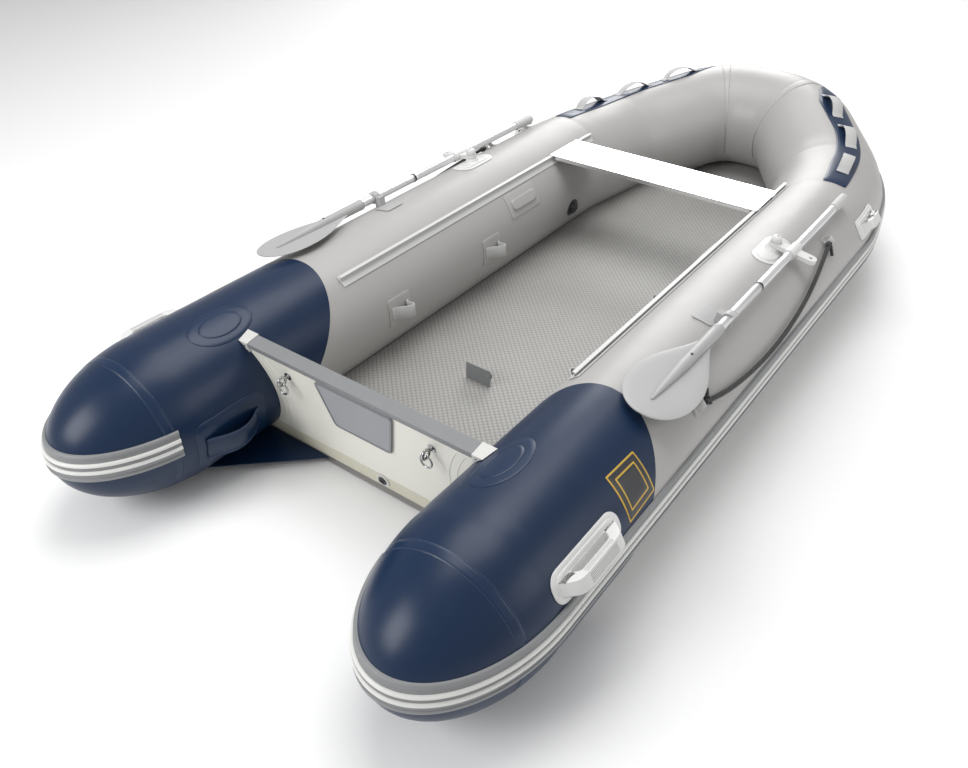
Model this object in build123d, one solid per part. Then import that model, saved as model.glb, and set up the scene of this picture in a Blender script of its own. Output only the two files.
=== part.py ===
"""Inflatable dinghy with an air-deck floor, a rigid transom, a sliding thwart and two oars.

Millimetres. +X is starboard, +Y is the bow, +Z is up. The origin is under the middle of the hull,
on the surface that the tubes rest on. The starboard half is built first and mirrored to port.
"""
from build123d import *
import os
from math import cos, pi, radians, sin, tan

# ---------------------------------------------------------------- driving dimensions
LENGTH = 3500.0            # stern ends of the tubes to the front of the bow
TUBE_R = 217.0             # outside radius of the buoyancy tubes
TUBE_X = 561.0             # half the distance between the side tubes' centre lines
TUBE_Z = TUBE_R            # height of the centre lines: the tubes rest on the ground
SKIN = 2.0                 # wall of the coated fabric, doubled to stand for skin and tape
DOME = 358.0               # length of a tube's rounded stern end
GLUE = 0.3                 # gap under everything that is glued on a tube

STERN_Y = -LENGTH / 2
DOME_Y = STERN_Y + DOME
SHOULDER = (TUBE_X, 729.0, TUBE_Z)             # first mitre of the bow
QUARTER = (487.0, 1127.0, TUBE_Z + 2)          # second mitre
NOSE = (176.0, LENGTH / 2 - TUBE_R - 2.7, TUBE_Z + 106)  # third mitre, where the bow has risen

COLOUR_Y = -1021.0         # where the navy stern panel ends, at the centre line's height
COLOUR_SLOPE_Z = 0.82      # the panel's edge leans forward as it goes up
COLOUR_SLOPE_X = -0.10     # and is a little further forward on the inner side

STRAKE_LOW = -14.0         # lower edge of the rub strake, from the centre line's height
STRAKE_HIGH = 64.0
STRAKE_BASE = 4.0
STRAKE_RIB = 10.0          # how far the two ribs stand out from the tube
STRAKE_RIBS = ((10.0, 21.0), (31.5, 42.5))
STRAKE_END_Y = -1500.0     # the strake ends here on the inner side of each stern end

TRANSOM_RAKE = 10.0
TRANSOM_FOOT_Y = -1145.0   # after face of the board at its lower edge
TRANSOM_FOOT_Z = 31.0
TRANSOM_H = 364.0          # height along the board, capping included
BOARD_T = 35.0
CAPPING_H = 18.0
CAPPING_T = 4.0
CAPPING_HALF = 392.0
EYE_X = 256.0
EYE_H = 300.0
EYE_OUT = 24.0             # distance of an eye's centre from the board
EYE_R = 13.0
EYE_WIRE = 4.0
RING_R = 18.0
RING_WIRE = 3.0
RING_DROP = 5.4            # how far below the eye's centre the ring's wire hangs
DRAIN_X = 30.0
DRAIN_H = 30.0
DRAIN_R = 12.0
DRAIN_FLANGE_R = 24.0

HANDLE_Y = -1271.0         # stern carry handles
HANDLE_ANGLE = 29.0
HANDLE_FOOT = (272.0, 80.0)
TOW_EYE_Y = 690.0
TOW_EYE_ANGLE = 33.0
TOW_EYE_HOLE_R = 11.0
BOW_PATCH_W = 104.0        # navy patch over the two slanting lengths of the bow
BOW_PATCH_ANGLE = 79.0
BOW_PATCH_ENDS = (0.03, 0.95)                  # share of the after and of the forward length
BOW_STRAPS = ((0, 0.50), (1, 0.16), (1, 0.62))  # length, and share of it
STRAP_HALF = 75.0
STRAP_RISE = 34.0
STRAP_T = 3.0
STRAP_W = 48.0
LUGS_Y = (-630.0, -112.0)
STERN_STRAP_Y = -1345.0        # soft lifting handles on the inner sides of the stern tubes
STERN_STRAP_ANGLE = 190.0
STERN_STRAP_HALF = 80.0
STERN_STRAP_RISE = 36.0
STERN_STRAP_W = 76.0
STERN_STRAP_T = 3.0
STERN_STRAP_FOOT = -4.0         # its ends go down to here before they are cut to the tube
ROPE_EYES = ((365.0, 49.5), (-684.0, 40.2))    # y, degrees up

BOTTOM_Z = 4.0
BOTTOM_T = 2.5
BOTTOM_NOSE_Z = 104.0
DECK_TOP = 63.0
DECK_LOW = 23.0
DECK_AFT_Y = -1088.0
DECK_BEND_Y = 800.0
DECK_FORE_Y = 1210.0
DECK_FORE_TOP = 105.0
DECK_FORE_LOW = 78.0
DECK_SKIN = 3.0
KEEL_W = 180.0
KEEL_H = 15.0

RAIL_X = 424.0
RAIL_Y = (-806.0, 704.0)
RAIL_ANGLE = 129.0         # where the rail's foot is glued, up from outboard
RAIL_HEAD_Z = 401.0        # underside of the rail's head
RAIL_HEAD_H = 3.0
THWART_Y = (400.0, 600.0)
THWART_T = 2.5
THWART_EDGE = 16.0

PAD_Y = 110.0              # rowlock pad, along the tube
PAD_LEAN = 10.4            # its lean outboard from the vertical, degrees
SHAFT_H = 26.0             # oar shaft's centre above the tube, at the pad
SHAFT_OUT = 60.0           # and outboard of the rowlock's pin
SHAFT_R = 14.0
SHAFT_WALL = 1.5
PIN_R = 6.0
OAR_TIP = -900.0           # all along the boat, from tip to grip
OAR_NECK = -536.0
OAR_SLEEVE = -446.0
OAR_JOINT = -166.0
OAR_GRIP = 490.0
OAR_END = 604.0
BLADE_W = 190.0
BUTTON_Y = -625.0
CLIP_Y = -376.0

ROPE_R = 7.0
KNOT_R = 11.5
ROPE_OFF = 12.0            # the lifeline's centre line stands this far off the tube
ROPE_ROUTE = ((329, 47.0), (258, 43.0), (163, 37.2), (55, 31.4), (-62, 27.2), (-185, 24.8),
              (-310, 24.9), (-430, 27.2), (-530, 30.8), (-600, 34.6), (-648, 38.0))  # y, degrees up

FLAP_X = -30.0
FLAP_Y = -621.0
VALVE_DECK_Y = -585.0
VALVE_Y = 459.0
VALVE_ANGLE = 190.0
VALVE_R = 24.0


# ---------------------------------------------------------------- helpers
def save(name, shape):
    """Writes one node."""
    shape.label = name
    export_step(shape, f"parts/{name}.step")


def both(shape):
    """A starboard shape and its port twin, as one group."""
    return Compound(children=[*shape.solids(), *mirror(shape, about=Plane.YZ).solids()])


def group(shapes):
    """Separate solids as one node."""
    return Compound(children=[solid for shape in shapes for solid in shape.solids()])


def mirrored(point):
    return (-point[0], point[1], point[2])


def cylinder_between(start, end, radius, extra=0.0):
    """A cylinder along a line, longer by extra at both ends."""
    a, b = Vector(*start), Vector(*end)
    way = (b - a).normalized()
    length = (b - a).length + 2 * extra
    frame = Plane(origin=a - way * extra, z_dir=way)
    return frame * Cylinder(radius, length, align=(Align.CENTER, Align.CENTER, Align.MIN))


def mitre(before, corner, after):
    """The plane in which two lengths of tube meet; its normal points along the tube."""
    a, b, c = Vector(*before), Vector(*corner), Vector(*after)
    return Plane(origin=b, z_dir=((b - a).normalized() + (c - b).normalized()).normalized())


STERN_POINT = (TUBE_X, DOME_Y, TUBE_Z)
MITRES = {
    "shoulder": mitre(STERN_POINT, SHOULDER, QUARTER),
    "quarter": mitre(SHOULDER, QUARTER, NOSE),
    "nose": mitre(QUARTER, NOSE, mirrored(NOSE)),
}
COLOUR_PLANE = Plane(origin=(TUBE_X, COLOUR_Y, TUBE_Z), z_dir=(-COLOUR_SLOPE_X, 1, -COLOUR_SLOPE_Z))


def trimmed(shape, after=None, before=None):
    """What lies past one plane and short of another."""
    if after is not None:
        shape = split(shape, bisect_by=after, keep=Keep.TOP)
    if before is not None:
        shape = split(shape, bisect_by=before, keep=Keep.BOTTOM)
    return shape


def stern_body(radius, dome, reach):
    """A solid rounded stern end with a straight length of tube in front of it."""
    arc = EllipticalCenterArc((0, 0), dome, radius, start_angle=0, arc_size=90)
    outline = [Line((-reach, 0), (-reach, radius)), Line((-reach, radius), (0, radius)), arc,
               Line((dome, 0), (-reach, 0))]
    body = revolve(make_face(outline), axis=Axis.X, revolution_arc=360)
    return Plane(origin=STERN_POINT, x_dir=(0, -1, 0), z_dir=(0, 0, 1)) * body


def bow_lengths(radius):
    """Solid lengths of the starboard tube from the shoulder to the nose, each cut at its mitres."""
    run = [trimmed(cylinder_between(STERN_POINT, SHOULDER, radius, 200), before=MITRES["shoulder"]),
           trimmed(cylinder_between(SHOULDER, QUARTER, radius, 200), MITRES["shoulder"], MITRES["quarter"]),
           trimmed(cylinder_between(QUARTER, NOSE, radius, 260), MITRES["quarter"], MITRES["nose"])]
    return run


def nose_length(radius):
    """The athwart length of tube at the bow, between its two mitres."""
    far = Plane(origin=mirrored(NOSE), z_dir=mirrored(tuple(MITRES["nose"].z_dir)))
    whole = cylinder_between(NOSE, mirrored(NOSE), radius, 300)
    return split(split(whole, bisect_by=MITRES["nose"], keep=Keep.TOP), bisect_by=far, keep=Keep.TOP)


def envelope(radius):
    """Solid tubes, for cutting what lies between them."""
    half = [stern_body(radius, DOME + radius - TUBE_R, 10), *bow_lengths(radius)]
    return [*half, *[mirror(piece, about=Plane.YZ) for piece in half], nose_length(radius)]


def between_tubes(shape, clearance):
    """The part of a sheet or board that lies inside the hull."""
    for tube in envelope(TUBE_R + clearance):
        shape = shape - tube
    return max(shape.solids(), key=lambda solid: solid.volume)


def side_frame(y, angle):
    """On the starboard tube's centre line; z points out at an angle up from outboard, x along the bow."""
    a = radians(angle)
    return Plane(origin=(TUBE_X, y, TUBE_Z), x_dir=(0, 1, 0), z_dir=(cos(a), 0, sin(a)))


def bow_frame(length, share, angle):
    """The same on a slanting length of the bow, 0 from the shoulder and 1 from the quarter."""
    a, b = (Vector(*end) for end in ((SHOULDER, QUARTER), (QUARTER, NOSE))[length])
    way = (b - a).normalized()
    outboard = way.cross(Vector(0, 0, 1)).normalized()
    up = outboard.cross(way).normalized()
    lean = radians(angle)
    return Plane(origin=a + (b - a) * share, x_dir=way, z_dir=outboard * cos(lean) + up * sin(lean))


def patch(frame, outline, thickness, lift=GLUE):
    """A glued patch that follows the tube; outline is a sketch in the frame's own x and y."""
    reach = outline.bounding_box().size.X / 2 + 30
    prism = extrude(outline, TUBE_R + lift + thickness + 20)
    ring = Cylinder(TUBE_R + lift + thickness, 2 * reach) - Cylinder(TUBE_R + lift, 2 * reach + 2)
    return frame * (prism & Rot(0, 90, 0) * ring)


def on_tube(frame, height=0.0):
    """The frame moved out to the tube's surface."""
    return frame.offset(TUBE_R + height)


def tube_near(y, reach):
    """The starboard side tube either side of a place, a little oversize, for cutting fittings to it."""
    return cylinder_between((TUBE_X, y - reach, TUBE_Z), (TUBE_X, y + reach, TUBE_Z), TUBE_R + 1)


def post(radius, low, height):
    """A cylinder standing on a frame's own z."""
    return Pos(0, 0, low) * Cylinder(radius, height, align=(Align.CENTER, Align.CENTER, Align.MIN))


def block(length, width, low, high):
    """A box standing on a frame's own z."""
    return Pos(0, 0, low) * Box(length, width, high - low, align=(Align.CENTER, Align.CENTER, Align.MIN))


# ---------------------------------------------------------------- hull
def stern_tube():
    shell = stern_body(TUBE_R, DOME, 700) - stern_body(TUBE_R - SKIN, DOME - SKIN, 701)
    return trimmed(shell, before=COLOUR_PLANE)


def side_tube():
    start = (TUBE_X, -1300.0, TUBE_Z)
    shell = cylinder_between(start, SHOULDER, TUBE_R, 100)
    shell = shell - cylinder_between(start, SHOULDER, TUBE_R - SKIN, 101)
    return trimmed(shell, COLOUR_PLANE, MITRES["shoulder"])


def bow_quarter():
    outer = bow_lengths(TUBE_R)[1:]
    inner = bow_lengths(TUBE_R - SKIN)[1:]
    return (outer[0] - inner[0]) + (outer[1] - inner[1])


def baffle():
    """A dished wall between two air chambers."""
    rim = TUBE_R - SKIN - 0.4
    depth = 60.0
    ball = (rim ** 2 + depth ** 2) / (2 * depth)
    cap = Sphere(ball) - Sphere(ball - SKIN)
    cap = split(cap, bisect_by=Plane.XY.offset(ball - depth), keep=Keep.TOP)
    return Plane(origin=(TUBE_X, 560, TUBE_Z), z_dir=(0, 1, 0)) * (Pos(0, 0, depth - ball) * cap)


def strake_bands():
    """Depth of each layer and its lower and upper edge, from the tube's centre line."""
    return [(STRAKE_BASE, STRAKE_LOW, STRAKE_HIGH)] + [(STRAKE_RIB, low, high) for low, high in STRAKE_RIBS]


def strake_side():
    """The strake along the starboard tube, round its stern end and up to the shoulder."""
    whole = None
    for depth, low, high in strake_bands():
        skin = stern_body(TUBE_R + depth, DOME + depth, 2400) - stern_body(TUBE_R + GLUE, DOME + GLUE, 2401)
        outer = Box(600, 2600, high - low, align=(Align.MIN, Align.MIN, Align.MIN))
        outer = Pos(TUBE_X, STERN_Y - 50, TUBE_Z + low) * outer
        inner = Box(600, STRAKE_END_Y - STERN_Y + 50, high - low, align=(Align.MAX, Align.MIN, Align.MIN))
        inner = Pos(TUBE_X, STERN_Y - 50, TUBE_Z + low) * inner
        band = skin & (outer + inner)
        whole = band if whole is None else whole + band
    return trimmed(whole, before=MITRES["shoulder"])


def strake_length(start, end, after, before):
    """The strake along one straight length of the bow."""
    a, b = Vector(*start), Vector(*end)
    way = (b - a).normalized()
    outboard = way.cross(Vector(0, 0, 1)).normalized()
    frame = Plane(origin=a, x_dir=way, z_dir=outboard.cross(way))
    whole = None
    for depth, low, high in strake_bands():
        ring = cylinder_between(start, end, TUBE_R + depth, 300)
        ring = ring - cylinder_between(start, end, TUBE_R + GLUE, 301)
        length = (b - a).length + 600
        slab = Box(length, 400, high - low, align=(Align.MIN, Align.MAX, Align.MIN))
        band = ring & (frame * (Pos(-300, 0, low) * slab))
        whole = band if whole is None else whole + band
    return trimmed(whole, after, before)


def rub_strake():
    half = [strake_side(), strake_length(SHOULDER, QUARTER, MITRES["shoulder"], MITRES["quarter"]),
            strake_length(QUARTER, NOSE, MITRES["quarter"], MITRES["nose"])]
    far = Plane(origin=mirrored(NOSE), z_dir=mirrored(tuple(MITRES["nose"].z_dir)))
    front = strake_length(NOSE, mirrored(NOSE), MITRES["nose"], None)
    front = split(front, bisect_by=far, keep=Keep.TOP)
    return group([both(piece) for piece in half] + [front])


def side_prism(outline, half_width):
    """A prism across the boat from an outline of (y, z) points."""
    face = make_face(Polyline(*[(0, y, z) for y, z in outline], close=True))
    return extrude(face, half_width, dir=(1, 0, 0), both=True)


def hull_bottom():
    top = BOTTOM_Z + BOTTOM_T
    nose_y = NOSE[1] + 20
    outline = [(TRANSOM_FOOT_Y, BOTTOM_Z), (SHOULDER[1], BOTTOM_Z), (nose_y, BOTTOM_NOSE_Z),
               (nose_y, BOTTOM_NOSE_Z + BOTTOM_T), (SHOULDER[1], top), (TRANSOM_FOOT_Y, top)]
    return between_tubes(side_prism(outline, 560), 0.3)


def deck_body(inset):
    outline = [(DECK_AFT_Y + inset, DECK_LOW + inset), (DECK_BEND_Y, DECK_LOW + 3 + inset),
               (DECK_FORE_Y - inset, DECK_FORE_LOW + inset), (DECK_FORE_Y - inset, DECK_FORE_TOP - inset),
               (DECK_BEND_Y, DECK_TOP - inset), (DECK_AFT_Y + inset, DECK_TOP - inset)]
    return between_tubes(side_prism(outline, 520), 1.0 + inset)


def air_deck():
    shell = deck_body(0) - deck_body(DECK_SKIN)
    port = Pos(FLAP_X, VALVE_DECK_Y, DECK_TOP) * Cylinder(16, 20)
    return shell - port


def keel():
    outer = SlotOverall(KEEL_W, KEEL_H)
    inner = SlotOverall(KEEL_W - 4, KEEL_H - 4)
    start, end = DECK_AFT_Y + 20, SHOULDER[1] - 20
    shell = extrude(outer, end - start) - Pos(0, 0, 3) * extrude(inner, end - start - 6)
    height = BOTTOM_Z + BOTTOM_T + 0.4 + KEEL_H / 2
    return Plane(origin=(0, start, height), x_dir=(-1, 0, 0), z_dir=(0, 1, 0)) * shell


def aft_gusset():
    low = TRANSOM_FOOT_Z - 6
    corners = [(190, TRANSOM_FOOT_Y - 2), (560, TRANSOM_FOOT_Y - 2), (560, -1396), (455, -1396)]
    sheet = extrude(make_face(Polyline(*corners, close=True)), 2.5)
    sheet = Pos(0, 0, low) * sheet
    return max((sheet - stern_body(TUBE_R + 0.3, DOME + 0.3, 700)).solids(), key=lambda solid: solid.volume)


# ---------------------------------------------------------------- transom
RAKE = radians(TRANSOM_RAKE)
AFT = Vector(0, -cos(RAKE), -sin(RAKE))        # square to the board
TRANSOM = Plane(origin=(0, TRANSOM_FOOT_Y, TRANSOM_FOOT_Z), x_dir=(1, 0, 0), z_dir=AFT)


def on_board(x, height, out):
    """A place on the transom: across, up the board, and out aft from its after face."""
    return TRANSOM.from_local_coords((x, height, out))


def board_block(x0, x1, h0, h1, out0, out1):
    size = (x1 - x0, h1 - h0, out1 - out0)
    return TRANSOM * (Pos(x0, h0, out0) * Box(*size, align=(Align.MIN, Align.MIN, Align.MIN)))


def clear_of_tubes(shape, clearance):
    tube = cylinder_between((TUBE_X, -1400, TUBE_Z), (TUBE_X, -900, TUBE_Z), TUBE_R + clearance)
    return shape - tube - mirror(tube, about=Plane.YZ)


def drain_hole(radius):
    return Plane(origin=on_board(DRAIN_X, DRAIN_H, -BOARD_T / 2), z_dir=AFT) * Cylinder(radius, 120)


def eye_hole(x, radius):
    return Plane(origin=on_board(x, EYE_H, -BOARD_T / 2), z_dir=AFT) * Cylinder(radius, 120)


def transom_board():
    board = clear_of_tubes(board_block(-520, 520, 0, TRANSOM_H - CAPPING_T, -BOARD_T, 0), 0.5)
    board = board - drain_hole(DRAIN_R + 2.5)
    return board - eye_hole(EYE_X, 3.8) - eye_hole(-EYE_X, 3.8)


def transom_capping():
    top = TRANSOM_H
    outside = board_block(-CAPPING_HALF, CAPPING_HALF, top - CAPPING_H, top, -BOARD_T - CAPPING_T, CAPPING_T)
    inside = board_block(-CAPPING_HALF - 1, CAPPING_HALF + 1, 0, top - CAPPING_T + 0.2, -BOARD_T - 0.2, 0.2)
    return outside - inside


def corner_cap():
    top = TRANSOM_H + 1
    x0 = CAPPING_HALF + 0.5
    outside = board_block(x0, x0 + 60, top - 32, top, -BOARD_T - 6, 6)
    inside = board_block(x0 - 1, x0 + 61, 0, TRANSOM_H - CAPPING_T + 0.2, -BOARD_T - 0.2, 0.2)
    return clear_of_tubes(outside - inside, 2.2)


def corner_screws():
    heads = []
    for height in (TRANSOM_H - 24, TRANSOM_H - 9):
        for out in (6.1, -BOARD_T - 6.1):
            centre = on_board(CAPPING_HALF + 5.2, height, out)
            frame = Plane(origin=centre, z_dir=AFT * (1 if out > 0 else -1))
            heads.append(frame * Cylinder(3.2, 2, align=(Align.CENTER, Align.CENTER, Align.MIN)))
    return group(heads)


def motor_pad_aft():
    low, high = 190.0, TRANSOM_H - CAPPING_H - 1
    outline = Polyline((-102, low), (102, low), (138, high), (-138, high), close=True)
    plate = extrude(fillet(make_face(outline).vertices(), 8), 6)
    return TRANSOM * (Pos(0, 0, 0.1) * plate)


def motor_pad_forward():
    low, high = 190.0, TRANSOM_H - CAPPING_H - 1
    plate = extrude(Pos(0, (low + high) / 2) * RectangleRounded(250, high - low, 10), 4)
    return TRANSOM * (Pos(0, 0, -BOARD_T - 4.1) * plate)


def eye_bolt():
    eye = Rot(0, 90, 0) * Rot(0, 0, 37) * Torus(EYE_R, EYE_WIRE)
    low = -EYE_OUT
    shank = post(3.5, -EYE_OUT - BOARD_T - 9, BOARD_T + 9 + EYE_OUT - EYE_R)
    washer = post(13, low + 0.2, 2)
    nut = Pos(0, 0, low - BOARD_T - 7) * extrude(RegularPolygon(7.5, 6), 6.5)
    bolt = eye + shank + washer + nut
    return Plane(origin=eye_centre(), x_dir=(1, 0, 0), z_dir=AFT) * bolt


def eye_centre():
    return on_board(EYE_X, EYE_H, EYE_OUT)


def hanging_ring():
    """Hangs straight down through the eye, so its own wire turns about an axis across the boat."""
    hook = eye_centre() - Vector(0, 0, RING_DROP)
    return Plane(origin=hook - Vector(0, 0, RING_R), z_dir=(0, 1, 0)) * Torus(RING_R, RING_WIRE)


def drain_frame():
    return Plane(origin=on_board(DRAIN_X, DRAIN_H, 0), x_dir=(1, 0, 0), z_dir=AFT)


def drain_fitting():
    flange = post(DRAIN_FLANGE_R, 0.1, 4)
    inner = post(DRAIN_FLANGE_R - 2, -BOARD_T - 3.1, 3)
    sleeve = post(DRAIN_R + 2.3, -BOARD_T - 3.1, BOARD_T + 7)
    hole = Pos(0, 0, -BOARD_T / 2) * Cylinder(DRAIN_R, 200)
    return drain_frame() * (flange + inner + sleeve - hole)


def drain_plug():
    stem = post(DRAIN_R - 0.08, -14, 18.4)
    head = post(DRAIN_R + 2.5, 4.4, 2.2)
    tab = Pos(0, 0, 6.6) * block(14, 3, 0, 5)
    return drain_frame() * (stem + head + tab)


def transom_patch():
    """Oval doubler where the transom's corner is bonded to the tube."""
    return patch(side_frame(-1221, 110), Ellipse(105, 62), 1.5)


# ---------------------------------------------------------------- seat
def seat_rail():
    """T-headed strip, glued to the inner shoulder of the tube."""
    length = RAIL_Y[1] - RAIL_Y[0]
    middle = sum(RAIL_Y) / 2
    foot = patch(side_frame(middle, RAIL_ANGLE), Rectangle(length, 40), 2.5)
    web_low = TUBE_Z + TUBE_R * sin(radians(RAIL_ANGLE)) - 10
    web = Pos(RAIL_X, middle, web_low) * Box(3, length, RAIL_HEAD_Z + 1 - web_low,
                                             align=(Align.CENTER, Align.CENTER, Align.MIN))
    web = web - cylinder_between((TUBE_X, RAIL_Y[0], TUBE_Z), (TUBE_X, RAIL_Y[1], TUBE_Z), TUBE_R + 1.5, 10)
    head = Pos(RAIL_X, middle, RAIL_HEAD_Z) * Box(12, length, RAIL_HEAD_H,
                                                  align=(Align.CENTER, Align.CENTER, Align.MIN))
    return foot + web + head


def thwart():
    """Folded plate with its long edges turned down."""
    under = RAIL_HEAD_Z + RAIL_HEAD_H + 0.4
    start, end = THWART_Y
    half = RAIL_X + 8
    outline = [(start, under - THWART_EDGE + THWART_T), (start, under + THWART_T), (end, under + THWART_T),
               (end, under - THWART_EDGE + THWART_T), (end - THWART_T, under - THWART_EDGE + THWART_T),
               (end - THWART_T, under), (start + THWART_T, under),
               (start + THWART_T, under - THWART_EDGE + THWART_T)]
    plate = side_prism(outline, half)
    slot = Pos(RAIL_X, (start + end) / 2, under - THWART_EDGE) * Box(
        34, end - start + 10, THWART_EDGE - 0.001, align=(Align.CENTER, Align.CENTER, Align.MIN))
    return plate - slot - mirror(slot, about=Plane.YZ)


def thwart_hook(y):
    """A pair of hooks riveted under the thwart that close round the rail's head."""
    top = RAIL_HEAD_Z + RAIL_HEAD_H + 0.4
    body = Pos(RAIL_X, y, top) * Box(17, 36, 7.6, align=(Align.CENTER, Align.CENTER, Align.MAX))
    room = Pos(RAIL_X, y, top) * Box(13, 40, 5.4, align=(Align.CENTER, Align.CENTER, Align.MAX))
    gap = Pos(RAIL_X, y, top) * Box(4.6, 40, 40, align=(Align.CENTER, Align.CENTER, Align.MAX))
    return body - room - gap


# ---------------------------------------------------------------- oars and rowlocks
PAD_FRAME = side_frame(PAD_Y, 90 - PAD_LEAN)
OAR_FRAME = Plane(origin=PAD_FRAME.from_local_coords((-PAD_Y, -SHAFT_OUT, TUBE_R + SHAFT_H)),
                  x_dir=(0, 1, 0), z_dir=PAD_FRAME.z_dir)


def along_oar(start, end, radius, hollow=0.0):
    """A round length of the oar between two places along the boat."""
    rod = post(radius, 0, end - start)
    if hollow:
        rod = rod - post(hollow, -1, end - start + 2)
    return Pos(start, 0, 0) * Rot(0, 90, 0) * rod


def rowlock_pad():
    base = patch(PAD_FRAME, SlotOverall(190, 92), 4)
    boss = Cylinder(23, 17 + 2, align=(Align.CENTER, Align.CENTER, Align.MAX))
    boss = PAD_FRAME * (Pos(0, 0, TUBE_R + 17) * boss)
    return base + (boss - tube_near(PAD_Y, 60))


def rowlock_pin():
    return PAD_FRAME * (post(PIN_R, TUBE_R + 17, 28))


def rowlock_knob():
    body = post(17, TUBE_R + 32.2, 12)
    dome = Pos(0, 0, TUBE_R + 44.2 - 9) * Sphere(19.2)
    dome = split(dome, bisect_by=Plane.XY.offset(TUBE_R + 44.2), keep=Keep.TOP)
    bore = post(PIN_R + 0.15, TUBE_R + 17, 28.2)
    return PAD_FRAME * (body + dome - bore)


def oar_collar():
    """Moulded sleeve with an ear on each side; the inboard ear turns on the pin."""
    sleeve = Pos(PAD_Y, 0, 0) * Rot(0, 90, 0) * Cylinder(18, 72)
    ears = Pos(PAD_Y, 0, -8.3) * extrude(SlotOverall(2 * SHAFT_OUT + 38, 38, rotation=90), 13.8)
    holes = [Pos(PAD_Y, side * SHAFT_OUT, 0) * Cylinder(PIN_R + 0.06, 60) for side in (-1, 1)]
    bore = Pos(PAD_Y, 0, 0) * Rot(0, 90, 0) * Cylinder(SHAFT_R + 0.15, 90)
    return OAR_FRAME * (sleeve + ears - bore - holes[0] - holes[1])


def oar_loom():
    """Forward half of the shaft, with the spigot that plugs into the after half."""
    tube = along_oar(OAR_JOINT, OAR_END - 14, SHAFT_R, SHAFT_R - SHAFT_WALL)
    inside = SHAFT_R - SHAFT_WALL
    spigot = along_oar(OAR_JOINT - 70, OAR_JOINT + 40, inside - 0.15, inside - 1.5)
    return OAR_FRAME * (tube + along_oar(OAR_JOINT + 2, OAR_JOINT + 40, SHAFT_R - 0.5, SHAFT_R - 3) + spigot)


def oar_shaft():
    tube = along_oar(OAR_NECK - 120, OAR_JOINT - 0.3, SHAFT_R, SHAFT_R - SHAFT_WALL)
    hole = Pos(BUTTON_Y, 0, 0) * Cylinder(4.08, 40, align=(Align.CENTER, Align.CENTER, Align.MIN))
    return OAR_FRAME * (tube - hole)


def blade_outline():
    """Half the blade, from the neck round to the tip, mirrored about the shaft."""
    half = BLADE_W / 2
    curve = Spline((OAR_NECK, 21), (-640, 66), (-760, half), (-850, half * 0.83), (OAR_TIP, 0),
                   tangents=[(-1, 0.1), (0, -1)])
    side = make_face([curve, Line((OAR_TIP, 0), (OAR_NECK, 0)), Line((OAR_NECK, 0), (OAR_NECK, 21))])
    return side + mirror(side, about=Plane.XZ)


def oar_blade():
    sheet = Pos(0, 0, -5) * extrude(blade_outline(), 4)
    full = OAR_SLEEVE - OAR_NECK + 124
    sleeve = Cone(18, 16.6, full, align=(Align.CENTER, Align.CENTER, Align.MIN))
    taper = Pos(0, 0, full) * Cone(16.6, 6, 150, align=(Align.CENTER, Align.CENTER, Align.MIN))
    ridge = Plane(origin=(OAR_SLEEVE, 0, 0), z_dir=(-1, 0, 0)) * (sleeve + taper)
    socket = along_oar(OAR_NECK - 122, OAR_SLEEVE + 1, SHAFT_R + 0.15)
    hole = Pos(BUTTON_Y, 0, 0) * Cylinder(4.08, 40, align=(Align.CENTER, Align.CENTER, Align.MIN))
    return OAR_FRAME * (sheet + ridge - socket - hole)


def oar_grip():
    body = along_oar(OAR_GRIP, OAR_END, 17)
    socket = along_oar(OAR_GRIP - 1, OAR_END - 13.8, SHAFT_R + 0.15)
    end = fillet(body.edges().filter_by(GeomType.CIRCLE).sort_by(Axis.X)[-1:], 6)
    return OAR_FRAME * (end - socket)


def oar_button():
    peg = Pos(BUTTON_Y, 0, 8.5) * Cylinder(4, 10.5, align=(Align.CENTER, Align.CENTER, Align.MIN))
    return OAR_FRAME * fillet(peg.edges().sort_by(Axis.Z)[-1:], 1.2)


def oar_clip():
    """Rubber clip on its own pad; it is open outboard, so that the oar swings out of it."""
    frame = side_frame(CLIP_Y, 90 - PAD_LEAN)
    pad = patch(frame, RectangleRounded(84, 66, 12), 3)
    ring = Rot(0, 90, 0) * Cylinder(19, 26)
    lips = block(26, 14, -19, 19)
    body = ring + Pos(0, -7, 0) * lips
    hold = SHAFT_R + 0.6
    room = Rot(0, 90, 0) * Cylinder(hold, 40) + Pos(0, -20, 0) * block(40, 40, -hold, hold)
    stand = Pos(0, 22, -36) * block(26, 26, 0, 42)
    clip = OAR_FRAME * (Pos(CLIP_Y, 0, 0) * (body + stand - room))
    tube = cylinder_between((TUBE_X, CLIP_Y - 60, TUBE_Z), (TUBE_X, CLIP_Y + 60, TUBE_Z), TUBE_R + 1.5)
    return pad + (clip - tube)


# ---------------------------------------------------------------- fittings on the tubes
def carry_handle():
    """Moulded stern handle: a long foot, two humps and a bar with room for a hand under it."""
    frame = side_frame(HANDLE_Y, HANDLE_ANGLE)
    foot = patch(frame, RectangleRounded(*HANDLE_FOOT, 26), 5)
    side = make_face(Polyline((-118, -4), (-84, 42), (84, 42), (118, -4), close=True))
    gap = make_face(Polyline((-74, 7), (-58, 27), (58, 27), (74, 7), close=True))
    arch = Rot(90, 0, 0) * extrude(side - gap, 17, both=True)
    return foot + (on_tube(frame) * arch - tube_near(HANDLE_Y, 200))


def tow_eye():
    """Moulded bow eye: a foot and a short thick bridge with a hole along the hull."""
    frame = side_frame(TOW_EYE_Y, TOW_EYE_ANGLE)
    foot = patch(frame, RectangleRounded(180, 74, 20), 5)
    side = make_face(Polyline((-70, -4), (-40, 40), (40, 40), (70, -4), close=True))
    arch = Rot(90, 0, 0) * extrude(side, 16, both=True)
    hole = Pos(0, 0, 22) * Rot(90, 0, 0) * Cylinder(TOW_EYE_HOLE_R, 60)
    return foot + (on_tube(frame) * (arch - hole) - tube_near(TOW_EYE_Y, 100))


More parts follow.
